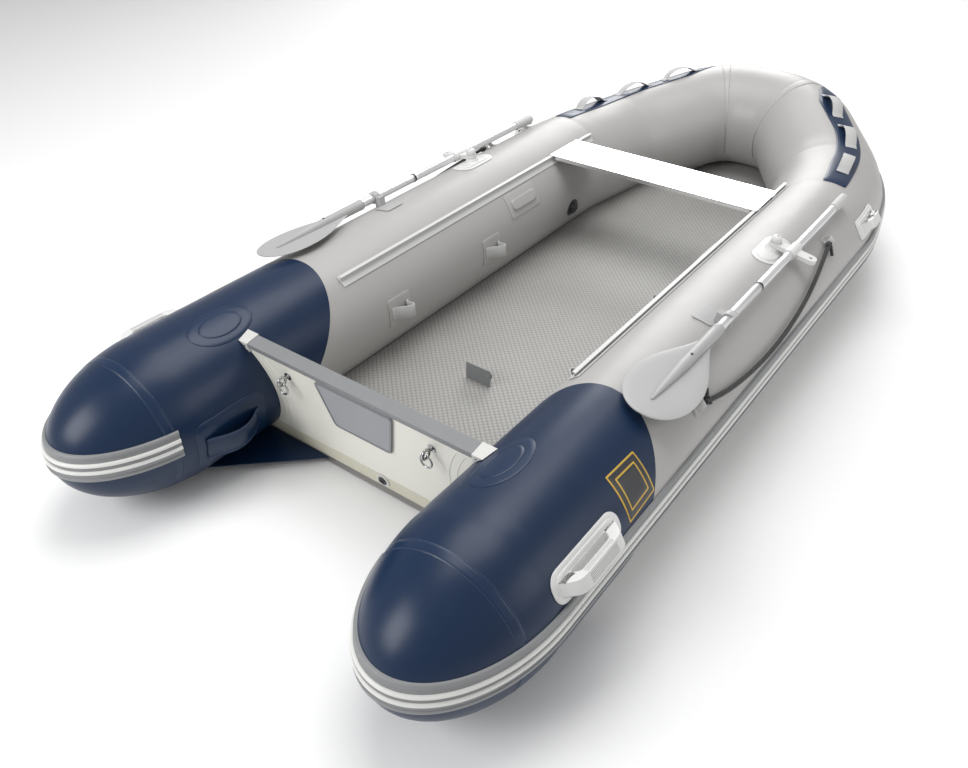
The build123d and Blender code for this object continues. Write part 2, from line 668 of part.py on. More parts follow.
def bow_patch():
    """One long patch, bent at the quarter's mitre."""
    pieces = []
    for length, (start, end) in enumerate(((SHOULDER, QUARTER), (QUARTER, NOSE))):
        reach = (Vector(*end) - Vector(*start)).length
        far = BOW_PATCH_ENDS[length] * reach          # the patch's outer end on this length
        past = reach + 60 if length == 0 else -60     # beyond the mitre, and trimmed there
        middle = (far + past) / 2
        outline = RectangleRounded(abs(past - far), BOW_PATCH_W, 14)
        piece = patch(bow_frame(length, middle / reach, BOW_PATCH_ANGLE), outline, 1.5)
        seam = MITRES["quarter"]
        pieces.append(trimmed(piece, before=seam) if length == 0 else trimmed(piece, after=seam))
    return pieces[0] + pieces[1]


def bow_straps():
    """Three webbing loops in a row along the patch."""
    base = GLUE + 1.5 + 0.3
    half, inner_half = STRAP_HALF, STRAP_HALF - 2 * STRAP_T
    outer = make_face([ThreePointArc((-half, base), (0, base + STRAP_RISE), (half, base)),
                       Line((half, base), (-half, base))])
    rise = STRAP_RISE - STRAP_T
    inner = make_face([ThreePointArc((-inner_half, base - 0.01), (0, base + rise), (inner_half, base - 0.01)),
                       Line((inner_half, base - 0.01), (-inner_half, base - 0.01))])
    loop = Rot(90, 0, 0) * extrude(outer - inner, STRAP_W / 2, both=True)
    return group([on_tube(bow_frame(length, share, BOW_PATCH_ANGLE)) * loop for length, share in BOW_STRAPS])


def strap_lug(y):
    """Webbing tab on a square doubler, on the inner side of the tube."""
    frame = side_frame(y, 177)
    foot = patch(frame, RectangleRounded(104, 104, 8), 1.5)
    side = make_face(Polyline((-30, -4), (-26, 6), (14, 46), (34, 46), (30, -4), close=True))
    gap = make_face(Polyline((-14, 8), (14, 38), (20, 8), close=True))
    tab = Rot(90, 0, 0) * extrude(side - gap, 22, both=True)
    return foot + (on_tube(frame) * tab - tube_near(y, 60))


def inner_pad():
    """Flat holder on the inner side of the tube."""
    frame = side_frame(130, 149)
    foot = patch(frame, RectangleRounded(190, 96, 10), 1.5)
    holder = patch(frame, RectangleRounded(150, 40, 10), 8, lift=GLUE + 1.5)
    return foot + holder


def stern_handle():
    """Soft lifting handle: a wide strap bridging its doubler on the inner side of a stern tube."""
    frame = side_frame(STERN_STRAP_Y, STERN_STRAP_ANGLE)
    foot = patch(frame, RectangleRounded(190, 140, 24), 1.5)
    half, low, rise = STERN_STRAP_HALF, STERN_STRAP_FOOT, STERN_STRAP_RISE
    outer = make_face([ThreePointArc((-half, low), (0, rise), (half, low)), Line((half, low), (-half, low))])
    half, rise = half - 1.5 * STERN_STRAP_T, rise - STERN_STRAP_T
    inner = make_face([ThreePointArc((-half, low), (0, rise), (half, low)), Line((half, low), (-half, low))])
    bridge = on_tube(frame) * (Rot(90, 0, 0) * extrude(outer - inner, STERN_STRAP_W / 2, both=True))
    return foot + (bridge - tube_near(STERN_STRAP_Y, 150))


def rope_eye(y, angle):
    """Small webbing loop on a doubler; the lifeline is tied to it."""
    frame = side_frame(y, angle)
    foot = patch(frame, RectangleRounded(58, 46, 8), 1.5)
    base = 1.6
    outer = make_face([ThreePointArc((-17, base), (0, 22), (17, base)), Line((17, base), (-17, base))])
    inner = make_face([ThreePointArc((-13, base), (0, 18.5), (13, base)), Line((13, base), (-13, base))])
    loop = Rot(90, 0, 0) * extrude(outer - inner, 11, both=True)
    return foot + on_tube(frame) * loop


def hull_valve():
    frame = side_frame(VALVE_Y, VALVE_ANGLE)
    foot = patch(frame, Circle(VALVE_R + 12), 2)
    rim = on_tube(frame) * (post(VALVE_R, 1.2, 6))
    well = on_tube(frame) * (post(VALVE_R - 5, 3.5, 8))
    return foot + (rim - tube_near(VALVE_Y, 60)) - well


def valve_cap():
    frame = on_tube(side_frame(VALVE_Y, VALVE_ANGLE))
    plug = post(VALVE_R - 5.08, 3.9, 3.7)
    lid = post(VALVE_R - 1, 7.6, 5)
    wings = Pos(0, 0, 12.6) * block(30, 6, 0, 6)
    return frame * (plug + lid + wings)


def floor_valve():
    """Inflation valve of the air deck, sunk in its top skin."""
    lip = post(24, 0.3, 1.5)
    neck = post(15.5, -14, 15)
    well = post(11, -10, 30)
    return Pos(FLAP_X, VALVE_DECK_Y, DECK_TOP) * (lip + neck - well)


def floor_flap():
    """Fabric cover of the floor valve, standing open on its sewn edge."""
    leaf = Pos(FLAP_X, FLAP_Y, DECK_TOP + 3.2) * block(96, 3, 0, 58)
    edge = Pos(FLAP_X, FLAP_Y, DECK_TOP + 3.2) * Rot(0, 90, 0) * Cylinder(2.6, 96)
    return leaf + edge


# ---------------------------------------------------------------- lifeline
def rope_point(y, angle):
    a = radians(angle)
    reach = TUBE_R + ROPE_OFF
    return Vector(TUBE_X + reach * cos(a), y, TUBE_Z + reach * sin(a))


def lifeline():
    points = [rope_point(y, angle) for y, angle in ROPE_ROUTE]
    radii = []
    for before, corner, after in zip(points, points[1:], points[2:]):
        turn = radians((corner - before).get_angle(after - corner))
        shorter = min((corner - before).length, (after - corner).length)
        radii.append(0.45 * shorter / tan(turn / 2))
    path = FilletPolyline(*points, radius=radii)
    start = Plane(origin=points[0], z_dir=points[1] - points[0])
    tube = sweep(start * Circle(ROPE_R), path=path)
    expected = pi * ROPE_R ** 2 * path.length
    print("lifeline radii", [round(radius) for radius in radii], "length", round(path.length, 1),
          "volume / section x length", round(tube.volume / expected, 4))
    return tube


def lifeline_knots():
    knots = []
    for end, inner in ((0, 1), (-1, -2)):
        place, beside = rope_point(*ROPE_ROUTE[end]), rope_point(*ROPE_ROUTE[inner])
        knots.append(Pos(*(place - (beside - place).normalized() * KNOT_R / 2)) * Sphere(KNOT_R))
    return group(knots)


# ---------------------------------------------------------------- nodes
def main():
    os.makedirs("parts", exist_ok=True)
    pairs = {
        "stern_tube": stern_tube(), "side_tube": side_tube(), "bow_quarter": bow_quarter(),
        "ring": hanging_ring(), "oar_collar": oar_collar(), "oar_loom": oar_loom(), "oar_shaft": oar_shaft(),
        "oar_blade": oar_blade(), "oar_grip": oar_grip(), "oar_button": oar_button(), "valve_cap": valve_cap(),
        "lifeline": lifeline(),
    }
    for name, shape in pairs.items():
        save(f"{name}_starboard", shape)
        save(f"{name}_port", mirror(shape, about=Plane.YZ))
    twins = {
        "chamber_baffles": baffle(), "aft_gussets": aft_gusset(), "transom_corner_caps": corner_cap(),
        "transom_screws": corner_screws(), "transom_eye_bolts": eye_bolt(), "transom_patches": transom_patch(),
        "seat_rails": seat_rail(), "rowlock_pads": rowlock_pad(), "rowlock_pins": rowlock_pin(),
        "rowlock_knobs": rowlock_knob(), "oar_clips": oar_clip(), "carry_handles": carry_handle(),
        "tow_eyes": tow_eye(), "bow_patches": bow_patch(), "bow_straps": bow_straps(),
        "strap_lugs": group([strap_lug(y) for y in LUGS_Y]), "inner_pads": inner_pad(),
        "stern_handles": stern_handle(), "hull_valves": hull_valve(),
        "rope_eyes": group([rope_eye(*place) for place in ROPE_EYES]), "lifeline_knots": lifeline_knots(),
        "thwart_hooks": group([thwart_hook(THWART_Y[0] + 30), thwart_hook(THWART_Y[1] - 30)]),
    }
    for name, shape in twins.items():
        save(name, both(shape))
    singles = {
        "bow_centre": nose_length(TUBE_R) - nose_length(TUBE_R - SKIN), "rub_strake": rub_strake(),
        "hull_bottom": hull_bottom(), "inflatable_keel": keel(), "air_deck": air_deck(),
        "floor_valve": floor_valve(), "floor_flap": floor_flap(), "transom_board": transom_board(),
        "transom_capping": transom_capping(), "motor_pad_aft": motor_pad_aft(),
        "motor_pad_forward": motor_pad_forward(), "drain_fitting": drain_fitting(), "drain_plug": drain_plug(),
        "thwart": thwart(),
    }
    for name, shape in singles.items():
        save(name, shape)


main()
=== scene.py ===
"""Looks of an inflatable dinghy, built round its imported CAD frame.

Metres. +X is starboard, +Y is the bow, +Z is up, and the tubes rest on z = 0. Every sub-assembly is a
class that holds its own sizes, builds its meshes and dresses them.
"""
from __future__ import annotations

import logging
import math
from dataclasses import dataclass, field
from enum import Enum
from typing import Optional, Sequence

import bmesh
import bpy
import numpy as np
from mathutils import Matrix, Vector

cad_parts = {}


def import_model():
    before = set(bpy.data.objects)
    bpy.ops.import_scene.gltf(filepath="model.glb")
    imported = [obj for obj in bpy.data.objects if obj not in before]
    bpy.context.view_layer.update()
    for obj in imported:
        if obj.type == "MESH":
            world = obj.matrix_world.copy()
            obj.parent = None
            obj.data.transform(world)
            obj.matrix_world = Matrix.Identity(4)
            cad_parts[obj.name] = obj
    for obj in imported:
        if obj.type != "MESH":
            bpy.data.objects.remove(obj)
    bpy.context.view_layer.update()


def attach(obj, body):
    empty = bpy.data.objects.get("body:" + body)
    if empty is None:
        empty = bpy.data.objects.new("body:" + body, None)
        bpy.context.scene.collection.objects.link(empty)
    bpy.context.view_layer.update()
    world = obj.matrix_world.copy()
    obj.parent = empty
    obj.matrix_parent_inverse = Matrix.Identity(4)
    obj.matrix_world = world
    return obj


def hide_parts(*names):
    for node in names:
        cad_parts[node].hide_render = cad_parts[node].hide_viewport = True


log = logging.getLogger("dinghy")
SIDES = {"starboard": 1, "port": -1}
Colour = tuple[float, float, float]


class Slot(Enum):
    """The record's material slots."""

    NAVY = "hull_navy"
    GREY = "hull_grey"
    STRAKE = "strake_rubber"
    DECK = "deck_grey"
    BOARD = "transom_cream"
    TRIM = "trim_grey"
    CAP = "cap_white"
    PAD = "pad_grey"
    STEEL = "stainless"
    ALUMINIUM = "aluminium"
    MOULDED = "moulded_white"
    RAIL = "rail_grey"
    WEBBING = "webbing_grey"
    BLADE = "blade_grey"
    GRIP = "grip_grey"
    DARK = "dark_plastic"
    ROPE = "rope_black"


# ---------------------------------------------------------------- node trees and finishes
class Graph:
    """Short calls for building a node tree."""

    def __init__(self, tree: bpy.types.NodeTree) -> None:
        """Starts with an empty tree."""
        self.tree = tree
        tree.nodes.clear()

    def add(self, kind: str, settings: Optional[dict] = None,
            inputs: Optional[dict] = None) -> bpy.types.Node:
        """Adds a node.

        Args:
            kind: the node's type name.
            settings: attributes of the node.
            inputs: sockets by name or number, each fed by a value or by another socket.

        Returns:
            The new node.
        """
        node = self.tree.nodes.new(kind)
        for key, value in (settings or {}).items():
            setattr(node, key, value)
        for key, value in (inputs or {}).items():
            if isinstance(value, bpy.types.NodeSocket):
                self.tree.links.new(value, node.inputs[key])
            else:
                node.inputs[key].default_value = value
        return node

    def math(self, operation: str, first: object, second: object = 0.0) -> bpy.types.NodeSocket:
        """Returns the result of a Math node."""
        return self.add("ShaderNodeMath", {"operation": operation}, {0: first, 1: second}).outputs[0]

    def humps(self, value: bpy.types.NodeSocket, pitch: float) -> bpy.types.NodeSocket:
        """Returns a row of round humps from 0 to 1 along a coordinate."""
        phase = self.math("MULTIPLY", value, math.pi / pitch)
        return self.math("ABSOLUTE", self.math("SINE", phase))

    def noise(self, place: bpy.types.NodeSocket, scale: float, detail: float) -> bpy.types.NodeSocket:
        """Returns cloudy noise from 0 to 1."""
        return self.add("ShaderNodeTexNoise", None,
                        {"Vector": place, "Scale": scale, "Detail": detail}).outputs[0]

    def ramp(self, value: bpy.types.NodeSocket, low: float, high: float) -> bpy.types.NodeSocket:
        """Returns a value from 0 to 1 spread between low and high."""
        return self.add("ShaderNodeMapRange", None,
                        {"Value": value, "To Min": low, "To Max": high}).outputs[0]

    def blend(self, factor: object, dark: Colour, light: Colour) -> bpy.types.NodeSocket:
        """Returns a colour between two."""
        return self.add("ShaderNodeMix", {"data_type": "RGBA"},
                        {0: factor, 6: (*dark, 1.0), 7: (*light, 1.0)}).outputs[2]


@dataclass(frozen=True)
class Finish:
    """A surface whose colour and roughness vary a little, with a fine bump."""

    name: str
    colour: Colour
    roughness: float = 0.4
    spread: float = 0.05        # how far the colour strays from the mean
    cloud: float = 3.0          # size of the colour's clouds, per metre
    grain: float = 600.0        # fine bump, per metre
    grain_height: float = 0.00006
    ripple: float = 0.0         # height of the slow unevenness
    ripple_scale: float = 9.0
    metallic: float = 0.0
    coat: float = 0.0
    sheen: float = 0.0
    specular: float = 0.5

    def shade(self, share: float) -> Colour:
        """Returns the colour, lighter or darker by a share."""
        return tuple(min(1.0, channel * (1 + share)) for channel in self.colour)

    def pattern(self, graph: Graph, place: bpy.types.NodeSocket) -> tuple:
        """Returns the colour factor and the height of the surface's own pattern."""
        cloud = graph.noise(place, self.cloud, 4.0)
        return cloud, graph.math("MULTIPLY", graph.noise(place, self.grain, 2.0), self.grain_height)

    def build(self) -> bpy.types.Material:
        """Returns the finished material, made once."""
        made = bpy.data.materials.get(self.name)
        if made is not None:
            return made
        made = bpy.data.materials.new(self.name)
        made.use_nodes = True
        graph = Graph(made.node_tree)
        place = graph.add("ShaderNodeTexCoord").outputs["Object"]
        factor, height = self.pattern(graph, place)
        if self.ripple:
            slow = graph.noise(place, self.ripple_scale, 1.5)
            height = graph.math("ADD", height, graph.math("MULTIPLY", slow, self.ripple))
        bump = graph.add("ShaderNodeBump", None, {"Height": height, "Distance": 1.0, "Strength": 1.0})
        rough = graph.noise(place, 14.0, 5.0)
        colour = graph.blend(factor, self.shade(-self.spread), self.shade(self.spread))
        shader = graph.add("ShaderNodeBsdfPrincipled", None, {
            "Base Color": colour, "Normal": bump.outputs[0], "Metallic": self.metallic,
            "Roughness": graph.ramp(rough, self.roughness * 0.85, self.roughness * 1.15)})
        shader.inputs["Coat Weight"].default_value = self.coat
        shader.inputs["Coat Roughness"].default_value = 0.22
        shader.inputs["Sheen Weight"].default_value = self.sheen
        shader.inputs["Specular IOR Level"].default_value = self.specular
        graph.add("ShaderNodeOutputMaterial", None, {"Surface": shader.outputs[0]})
        return made


@dataclass(frozen=True)
class CoatedFabric(Finish):
    """Coated fabric: the scrim's threads show faintly through the coat."""

    thread: float = 900.0

    def pattern(self, graph: Graph, place: bpy.types.NodeSocket) -> tuple:
        """Returns clouds for the colour, and a crossed scrim for the height."""
        factor, height = super().pattern(graph, place)
        for axis in ("X", "Y", "Z"):
            band = graph.add("ShaderNodeTexWave", {"bands_direction": axis},
                             {"Vector": place, "Scale": self.thread / 20, "Distortion": 0.4})
            height = graph.math("ADD", height, graph.math("MULTIPLY", band.outputs["Fac"], 0.00001))
        return factor, height


@dataclass(frozen=True)
class Embossed(Finish):
    """A sheet pressed with a slanting lattice of small pads between grooves, with painted shade in the grooves."""

    cell: float = 0.0145
    depth: float = 0.0016
    slant: float = 45.0

    def pattern(self, graph: Graph, place: bpy.types.NodeSocket) -> tuple:
        """Returns a factor that is dark in the grooves as painted shade, and the pads' height."""
        turned = graph.add("ShaderNodeVectorRotate", {"rotation_type": "Z_AXIS"},
                           {"Vector": place, "Angle": math.radians(self.slant)}).outputs[0]
        parts = graph.add("ShaderNodeSeparateXYZ", None, {0: turned}).outputs
        lattice = graph.math("MULTIPLY", graph.humps(parts[0], self.cell), graph.humps(parts[1], self.cell))
        pads = graph.math("POWER", lattice, 0.45)
        cloud, grain = super().pattern(graph, place)
        # The pads set the colour too: the grooves between them get painted shade.
        factor = graph.math("ADD", graph.math("MULTIPLY", pads, 0.7), graph.math("MULTIPLY", cloud, 0.3))
        return factor, graph.math("ADD", graph.math("MULTIPLY", pads, self.depth), grain)


@dataclass(frozen=True)
class Brushed(Finish):
    """Metal with fine lines along one axis."""

    along: int = 0
    lines: float = 900.0
    line_height: float = 0.00002

    def pattern(self, graph: Graph, place: bpy.types.NodeSocket) -> tuple:
        """Returns the lines as both the colour's factor and the height."""
        scale = [self.lines] * 3
        scale[self.along] = 3.0
        drawn = graph.add("ShaderNodeMapping", None, {"Vector": place, "Scale": scale})
        streak = graph.noise(drawn.outputs[0], 1.0, 3.0)
        return streak, graph.math("MULTIPLY", streak, self.line_height)


@dataclass(frozen=True)
class Woven(Finish):
    """Webbing: ribs across the strap, from its own UV map in metres."""

    rib: float = 0.0022

    def pattern(self, graph: Graph, place: bpy.types.NodeSocket) -> tuple:
        """Returns the weave as both the colour's factor and the height."""
        own = graph.add("ShaderNodeUVMap", {"uv_map": "strap"}).outputs[0]
        parts = graph.add("ShaderNodeSeparateXYZ", None, {0: own}).outputs
        across = graph.math("SINE", graph.math("MULTIPLY", parts[0], 2 * math.pi / self.rib))
        along = graph.math("SINE", graph.math("MULTIPLY", parts[1], 2 * math.pi / (self.rib * 0.8)))
        weave = graph.math("MULTIPLY_ADD", graph.math("MULTIPLY", across, along), 0.5)
        return weave, graph.math("MULTIPLY", weave, 0.00035)


@dataclass(frozen=True)
class Knurled(Finish):
    """Rubber with a fine square grid of raised points, on the transom's slope."""

    pitch: float = 0.0042
    depth: float = 0.0006

    def pattern(self, graph: Graph, place: bpy.types.NodeSocket) -> tuple:
        """Returns a factor that is dark between the points as painted shade, and their height."""
        parts = graph.add("ShaderNodeSeparateXYZ", None, {0: place}).outputs
        points = graph.math("MULTIPLY", graph.humps(parts[0], self.pitch), graph.humps(parts[2], self.pitch))
        # The points set the colour too: the hollows between them get painted shade.
        return points, graph.math("MULTIPLY", points, self.depth)


NAVY = CoatedFabric("navy coated fabric", (0.0048, 0.0195, 0.057), 0.34, 0.10, 2.2, ripple=0.0006,
                    specular=0.36)
NAVY_TAPE = CoatedFabric("navy tape", (0.0055, 0.0215, 0.062), 0.32, 0.08, 9.0, specular=0.40)
# A lighter copy of the navy, used as a painted highlight on the stern seam tape's edges and on the stern handles'
# edges.
NAVY_EDGE_HIGHLIGHT = Finish("navy seam edge painted highlight", (0.028, 0.058, 0.125), 0.36, 0.06, 9.0)
GREY = CoatedFabric("grey coated fabric", (0.405, 0.396, 0.386), 0.42, 0.035, 2.2, ripple=0.0006, coat=0.08,
                    specular=0.4)
GREY_TAPE = CoatedFabric("grey tape", (0.420, 0.411, 0.400), 0.42, 0.03, 9.0, coat=0.08, specular=0.4)
STRAKE = Finish("strake rubber", (0.235, 0.240, 0.245), 0.46, 0.08, 12.0, 700.0)
STRAKE_RIB = Finish("strake rib", (0.72, 0.72, 0.70), 0.36, 0.03, 12.0, 700.0)
# The deck's wide colour spread is mostly painted shade in the emboss's grooves.
DECK = Embossed("embossed deck", (0.335, 0.330, 0.318), 0.42, 0.34, 4.0, 900.0, ripple=0.001,
                ripple_scale=3.0)
BOARD = Finish("painted board", (0.76, 0.75, 0.685), 0.30, 0.03, 4.0, 260.0, 0.00006, ripple=0.0002, coat=0.3)
BEIGE = Finish("beige tape", (0.60, 0.58, 0.47), 0.42, 0.04, 6.0, 900.0)
TRIM = Finish("grey capping rubber", (0.215, 0.222, 0.230), 0.46, 0.06, 20.0, 1100.0, 0.00008)
CAP = Finish("white cap plastic", (0.60, 0.60, 0.58), 0.38, 0.03, 20.0, 1100.0)
# The pad's colour spread is painted shade between the knurled points.
PAD = Knurled("motor pad rubber", (0.345, 0.350, 0.375), 0.55, 0.22, 30.0)
STEEL = Brushed("stainless steel", (0.46, 0.46, 0.46), 0.22, 0.05, metallic=1.0, along=2, lines=500.0)
ALUMINIUM = Brushed("brushed aluminium", (0.92, 0.92, 0.93), 0.26, 0.035, metallic=1.0, along=0)
SHAFT = Brushed("oar tube aluminium", (0.84, 0.84, 0.85), 0.34, 0.03, metallic=0.75, along=1)
MOULDED = Finish("white moulded plastic", (0.68, 0.68, 0.67), 0.36, 0.025, 16.0, 1300.0, 0.00009)
RAIL = Finish("pale extruded plastic", (0.60, 0.60, 0.595), 0.34, 0.03, 16.0, 1300.0)
WEBBING = Woven("grey webbing", (0.50, 0.50, 0.495), 0.62, 0.16, sheen=0.25)
THREAD = Finish("pale thread", (0.60, 0.60, 0.58), 0.6, 0.05, 300.0, 2500.0)
BLADE = Finish("grey blade plastic", (0.40, 0.405, 0.40), 0.38, 0.05, 12.0, 900.0, 0.00010, ripple=0.0003)
GRIP = Finish("pale grip rubber", (0.52, 0.52, 0.51), 0.5, 0.05, 30.0, 1400.0, 0.00012)
DARK = Finish("dark plastic", (0.030, 0.031, 0.034), 0.38, 0.15, 30.0, 1100.0, 0.00009)
ROPE = Finish("black rope yarn", (0.014, 0.013, 0.013), 0.62, 0.35, 500.0, 2400.0, 0.00012, sheen=0.3)
GOLD = Finish("gold ink", (0.58, 0.36, 0.035), 0.4, 0.06, 40.0, 1500.0)


# ---------------------------------------------------------------- meshes
def flat(points: object) -> list:
    """Returns an array's points as plain tuples."""
    return [tuple(float(c) for c in p) for p in np.asarray(points, float).reshape(-1, 3)]


def linked(name: str, data: bpy.types.ID) -> bpy.types.Object:
    """Returns a new object in the scene."""
    made = bpy.data.objects.new(name, data)
    bpy.context.scene.collection.objects.link(made)
    return made


def piece(name: str, verts: object, faces: Sequence, finish: Finish, smooth: bool = True) -> bpy.types.Object:
    """Makes a mesh object at the origin.

    Args:
        name: the piece's name.
        verts: the points, in the frame's metres.
        faces: tuples of point numbers.
        finish: its material.
        smooth: whether it is shaded smooth.

    Returns:
        The linked object.
    """
    mesh = bpy.data.meshes.new(name)
    mesh.from_pydata(flat(verts), [], [tuple(int(i) for i in face) for face in faces])
    mesh.validate()
    made = linked(name, mesh)
    made.data.materials.append(finish.build())
    if smooth:
        mesh.shade_smooth()
    return made


def once(side: int, node: str) -> tuple:
    """Returns the CAD node that a pair of pieces stands for; only the starboard one names it."""
    return (node,) if side == 1 else ()


def put(made: bpy.types.Object, body: str, slot: Slot, *nodes: str) -> bpy.types.Object:
    """Attaches a piece to the body it rides on, and hides the CAD nodes that it stands for."""
    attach(made, body)
    if nodes:
        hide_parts(*nodes)
    log.info("%s: %d faces on %s", made.name, len(made.data.polygons), body)
    return made


def recalculated(made: bpy.types.Object, merge: float = 1e-5) -> bpy.types.Object:
    """Merges points nearer than a distance, if one is given, and points every face outwards."""
    mesh = bmesh.new()
    mesh.from_mesh(made.data)
    if merge:
        bmesh.ops.remove_doubles(mesh, verts=mesh.verts, dist=merge)
    bmesh.ops.recalc_face_normals(mesh, faces=mesh.faces)
    mesh.to_mesh(made.data)
    mesh.free()
    return made


def baked(made: bpy.types.Object) -> bpy.types.Object:
    """Turns an object's modifiers into plain mesh."""
    graph = bpy.context.evaluated_depsgraph_get()
    graph.update()
    mesh = bpy.data.meshes.new_from_object(made.evaluated_get(graph))
    made.modifiers.clear()
    made.data = mesh
    return made


def grid_faces(rows: int, columns: int, closed: bool = False, first: int = 0) -> list:
    """Returns the quads of a grid of points; closed joins the last column to the first."""
    last = columns if closed else columns - 1
    faces = []
    for i in range(rows - 1):
        for j in range(last):
            k = (j + 1) % columns
            faces.append((first + i * columns + j, first + i * columns + k,
                          first + (i + 1) * columns + k, first + (i + 1) * columns + j))
    return faces


def end_caps(rows: int, columns: int) -> list:
    """Returns the two end faces of a closed grid of points."""
    return [tuple(range(columns))[::-1], tuple((rows - 1) * columns + i for i in range(columns))]


def circle(count: int) -> np.ndarray:
    """Returns even angles round a full turn."""
    return np.linspace(0, 2 * np.pi, count, endpoint=False)


def travelled(line: np.ndarray) -> np.ndarray:
    """Returns how far along a line each of its points is."""
    return np.concatenate([[0], np.cumsum(np.linalg.norm(np.diff(line, axis=0), axis=1))])


def rounding(before: np.ndarray, corner: np.ndarray, after: np.ndarray, t: object) -> np.ndarray:
    """Returns points of the curve that eases a corner, at shares from 0 to 1."""
    return (1 - t) ** 2 * before + 2 * t * (1 - t) * corner + t ** 2 * after


def softened(name: str, node: str, finish: Finish, width: float = 0.0015, angle: float = 32.0,
             levels: int = 2) -> bpy.types.Object:
    """Copies a CAD node with its sharp edges rounded.

    Args:
        name: the new piece's name.
        node: the CAD node.
        finish: its material.
        width: the rounding's width.
        angle: edges sharper than this are rounded.
        levels: the rounding's segments.

    Returns:
        The rounded copy.
    """
    made = linked(name, bpy.data.objects[node].data.copy())
    mesh = bmesh.new()
    mesh.from_mesh(made.data)
    bmesh.ops.remove_doubles(mesh, verts=mesh.verts, dist=2e-5)
    bmesh.ops.dissolve_degenerate(mesh, edges=mesh.edges, dist=1e-5)
    bmesh.ops.dissolve_limit(mesh, angle_limit=math.radians(1.0), verts=mesh.verts, edges=mesh.edges)
    mesh.to_mesh(made.data)
    mesh.free()
    imported = made.data.attributes.get("custom_normal")
    if imported is not None:
        made.data.attributes.remove(imported)
    made.data.materials.clear()
    made.data.materials.append(finish.build())
    made.data.shade_smooth()
    bevel = made.modifiers.new("rounding", "BEVEL")
    bevel.width, bevel.segments, bevel.limit_method = width, levels, "ANGLE"
    bevel.angle_limit = math.radians(angle)
    flat_faces = made.modifiers.new("flat faces", "WEIGHTED_NORMAL")
    flat_faces.weight, flat_faces.keep_sharp = 100, True
    return baked(made)


def rounded(name: str, node: str, finish: Finish, width: float, body: str, slot: Slot, levels: int = 2
            ) -> bpy.types.Object:
    """Puts a rounded copy of a CAD node in its place."""
    return put(softened(name, node, finish, width, levels=levels), body, slot, node)


def dressed(node: str, finish: Finish) -> bpy.types.Object:
    """Gives a CAD node its material; its own mesh is kept."""
    made = bpy.data.objects[node]
    made.data.materials.clear()
    made.data.materials.append(finish.build())
    return made


def swept(name: str, path: np.ndarray, radius: float, finish: Finish, sides: int = 12) -> bpy.types.Object:
    """Makes a closed round tube along points, with a steady frame that doesn't twist."""
    path = np.asarray(path, float)
    way = np.gradient(path, axis=0)
    way /= np.linalg.norm(way, axis=1)[:, None]
    side = np.cross(way[0], [0.0, 0.0, 1.0])
    if np.linalg.norm(side) < 0.1:
        side = np.cross(way[0], [1.0, 0.0, 0.0])
    rings = []
    turn = circle(sides)
    for point, tangent in zip(path, way):
        side = side - tangent * side.dot(tangent)
        side = side / np.linalg.norm(side)
        up = np.cross(tangent, side)
        rings.append(point + radius * (np.cos(turn)[:, None] * side + np.sin(turn)[:, None] * up))
    faces = grid_faces(len(path), sides, closed=True)
    return recalculated(piece(name, rings, faces + end_caps(len(path), sides), finish))


def joined(name: str, pieces: Sequence[bpy.types.Object]) -> bpy.types.Object:
    """Joins objects into the first one and names it."""
    first = pieces[0]
    with bpy.context.temp_override(active_object=first, selected_editable_objects=list(pieces),
                                   selected_objects=list(pieces)):
        bpy.ops.object.join()
    first.name = name
    return first


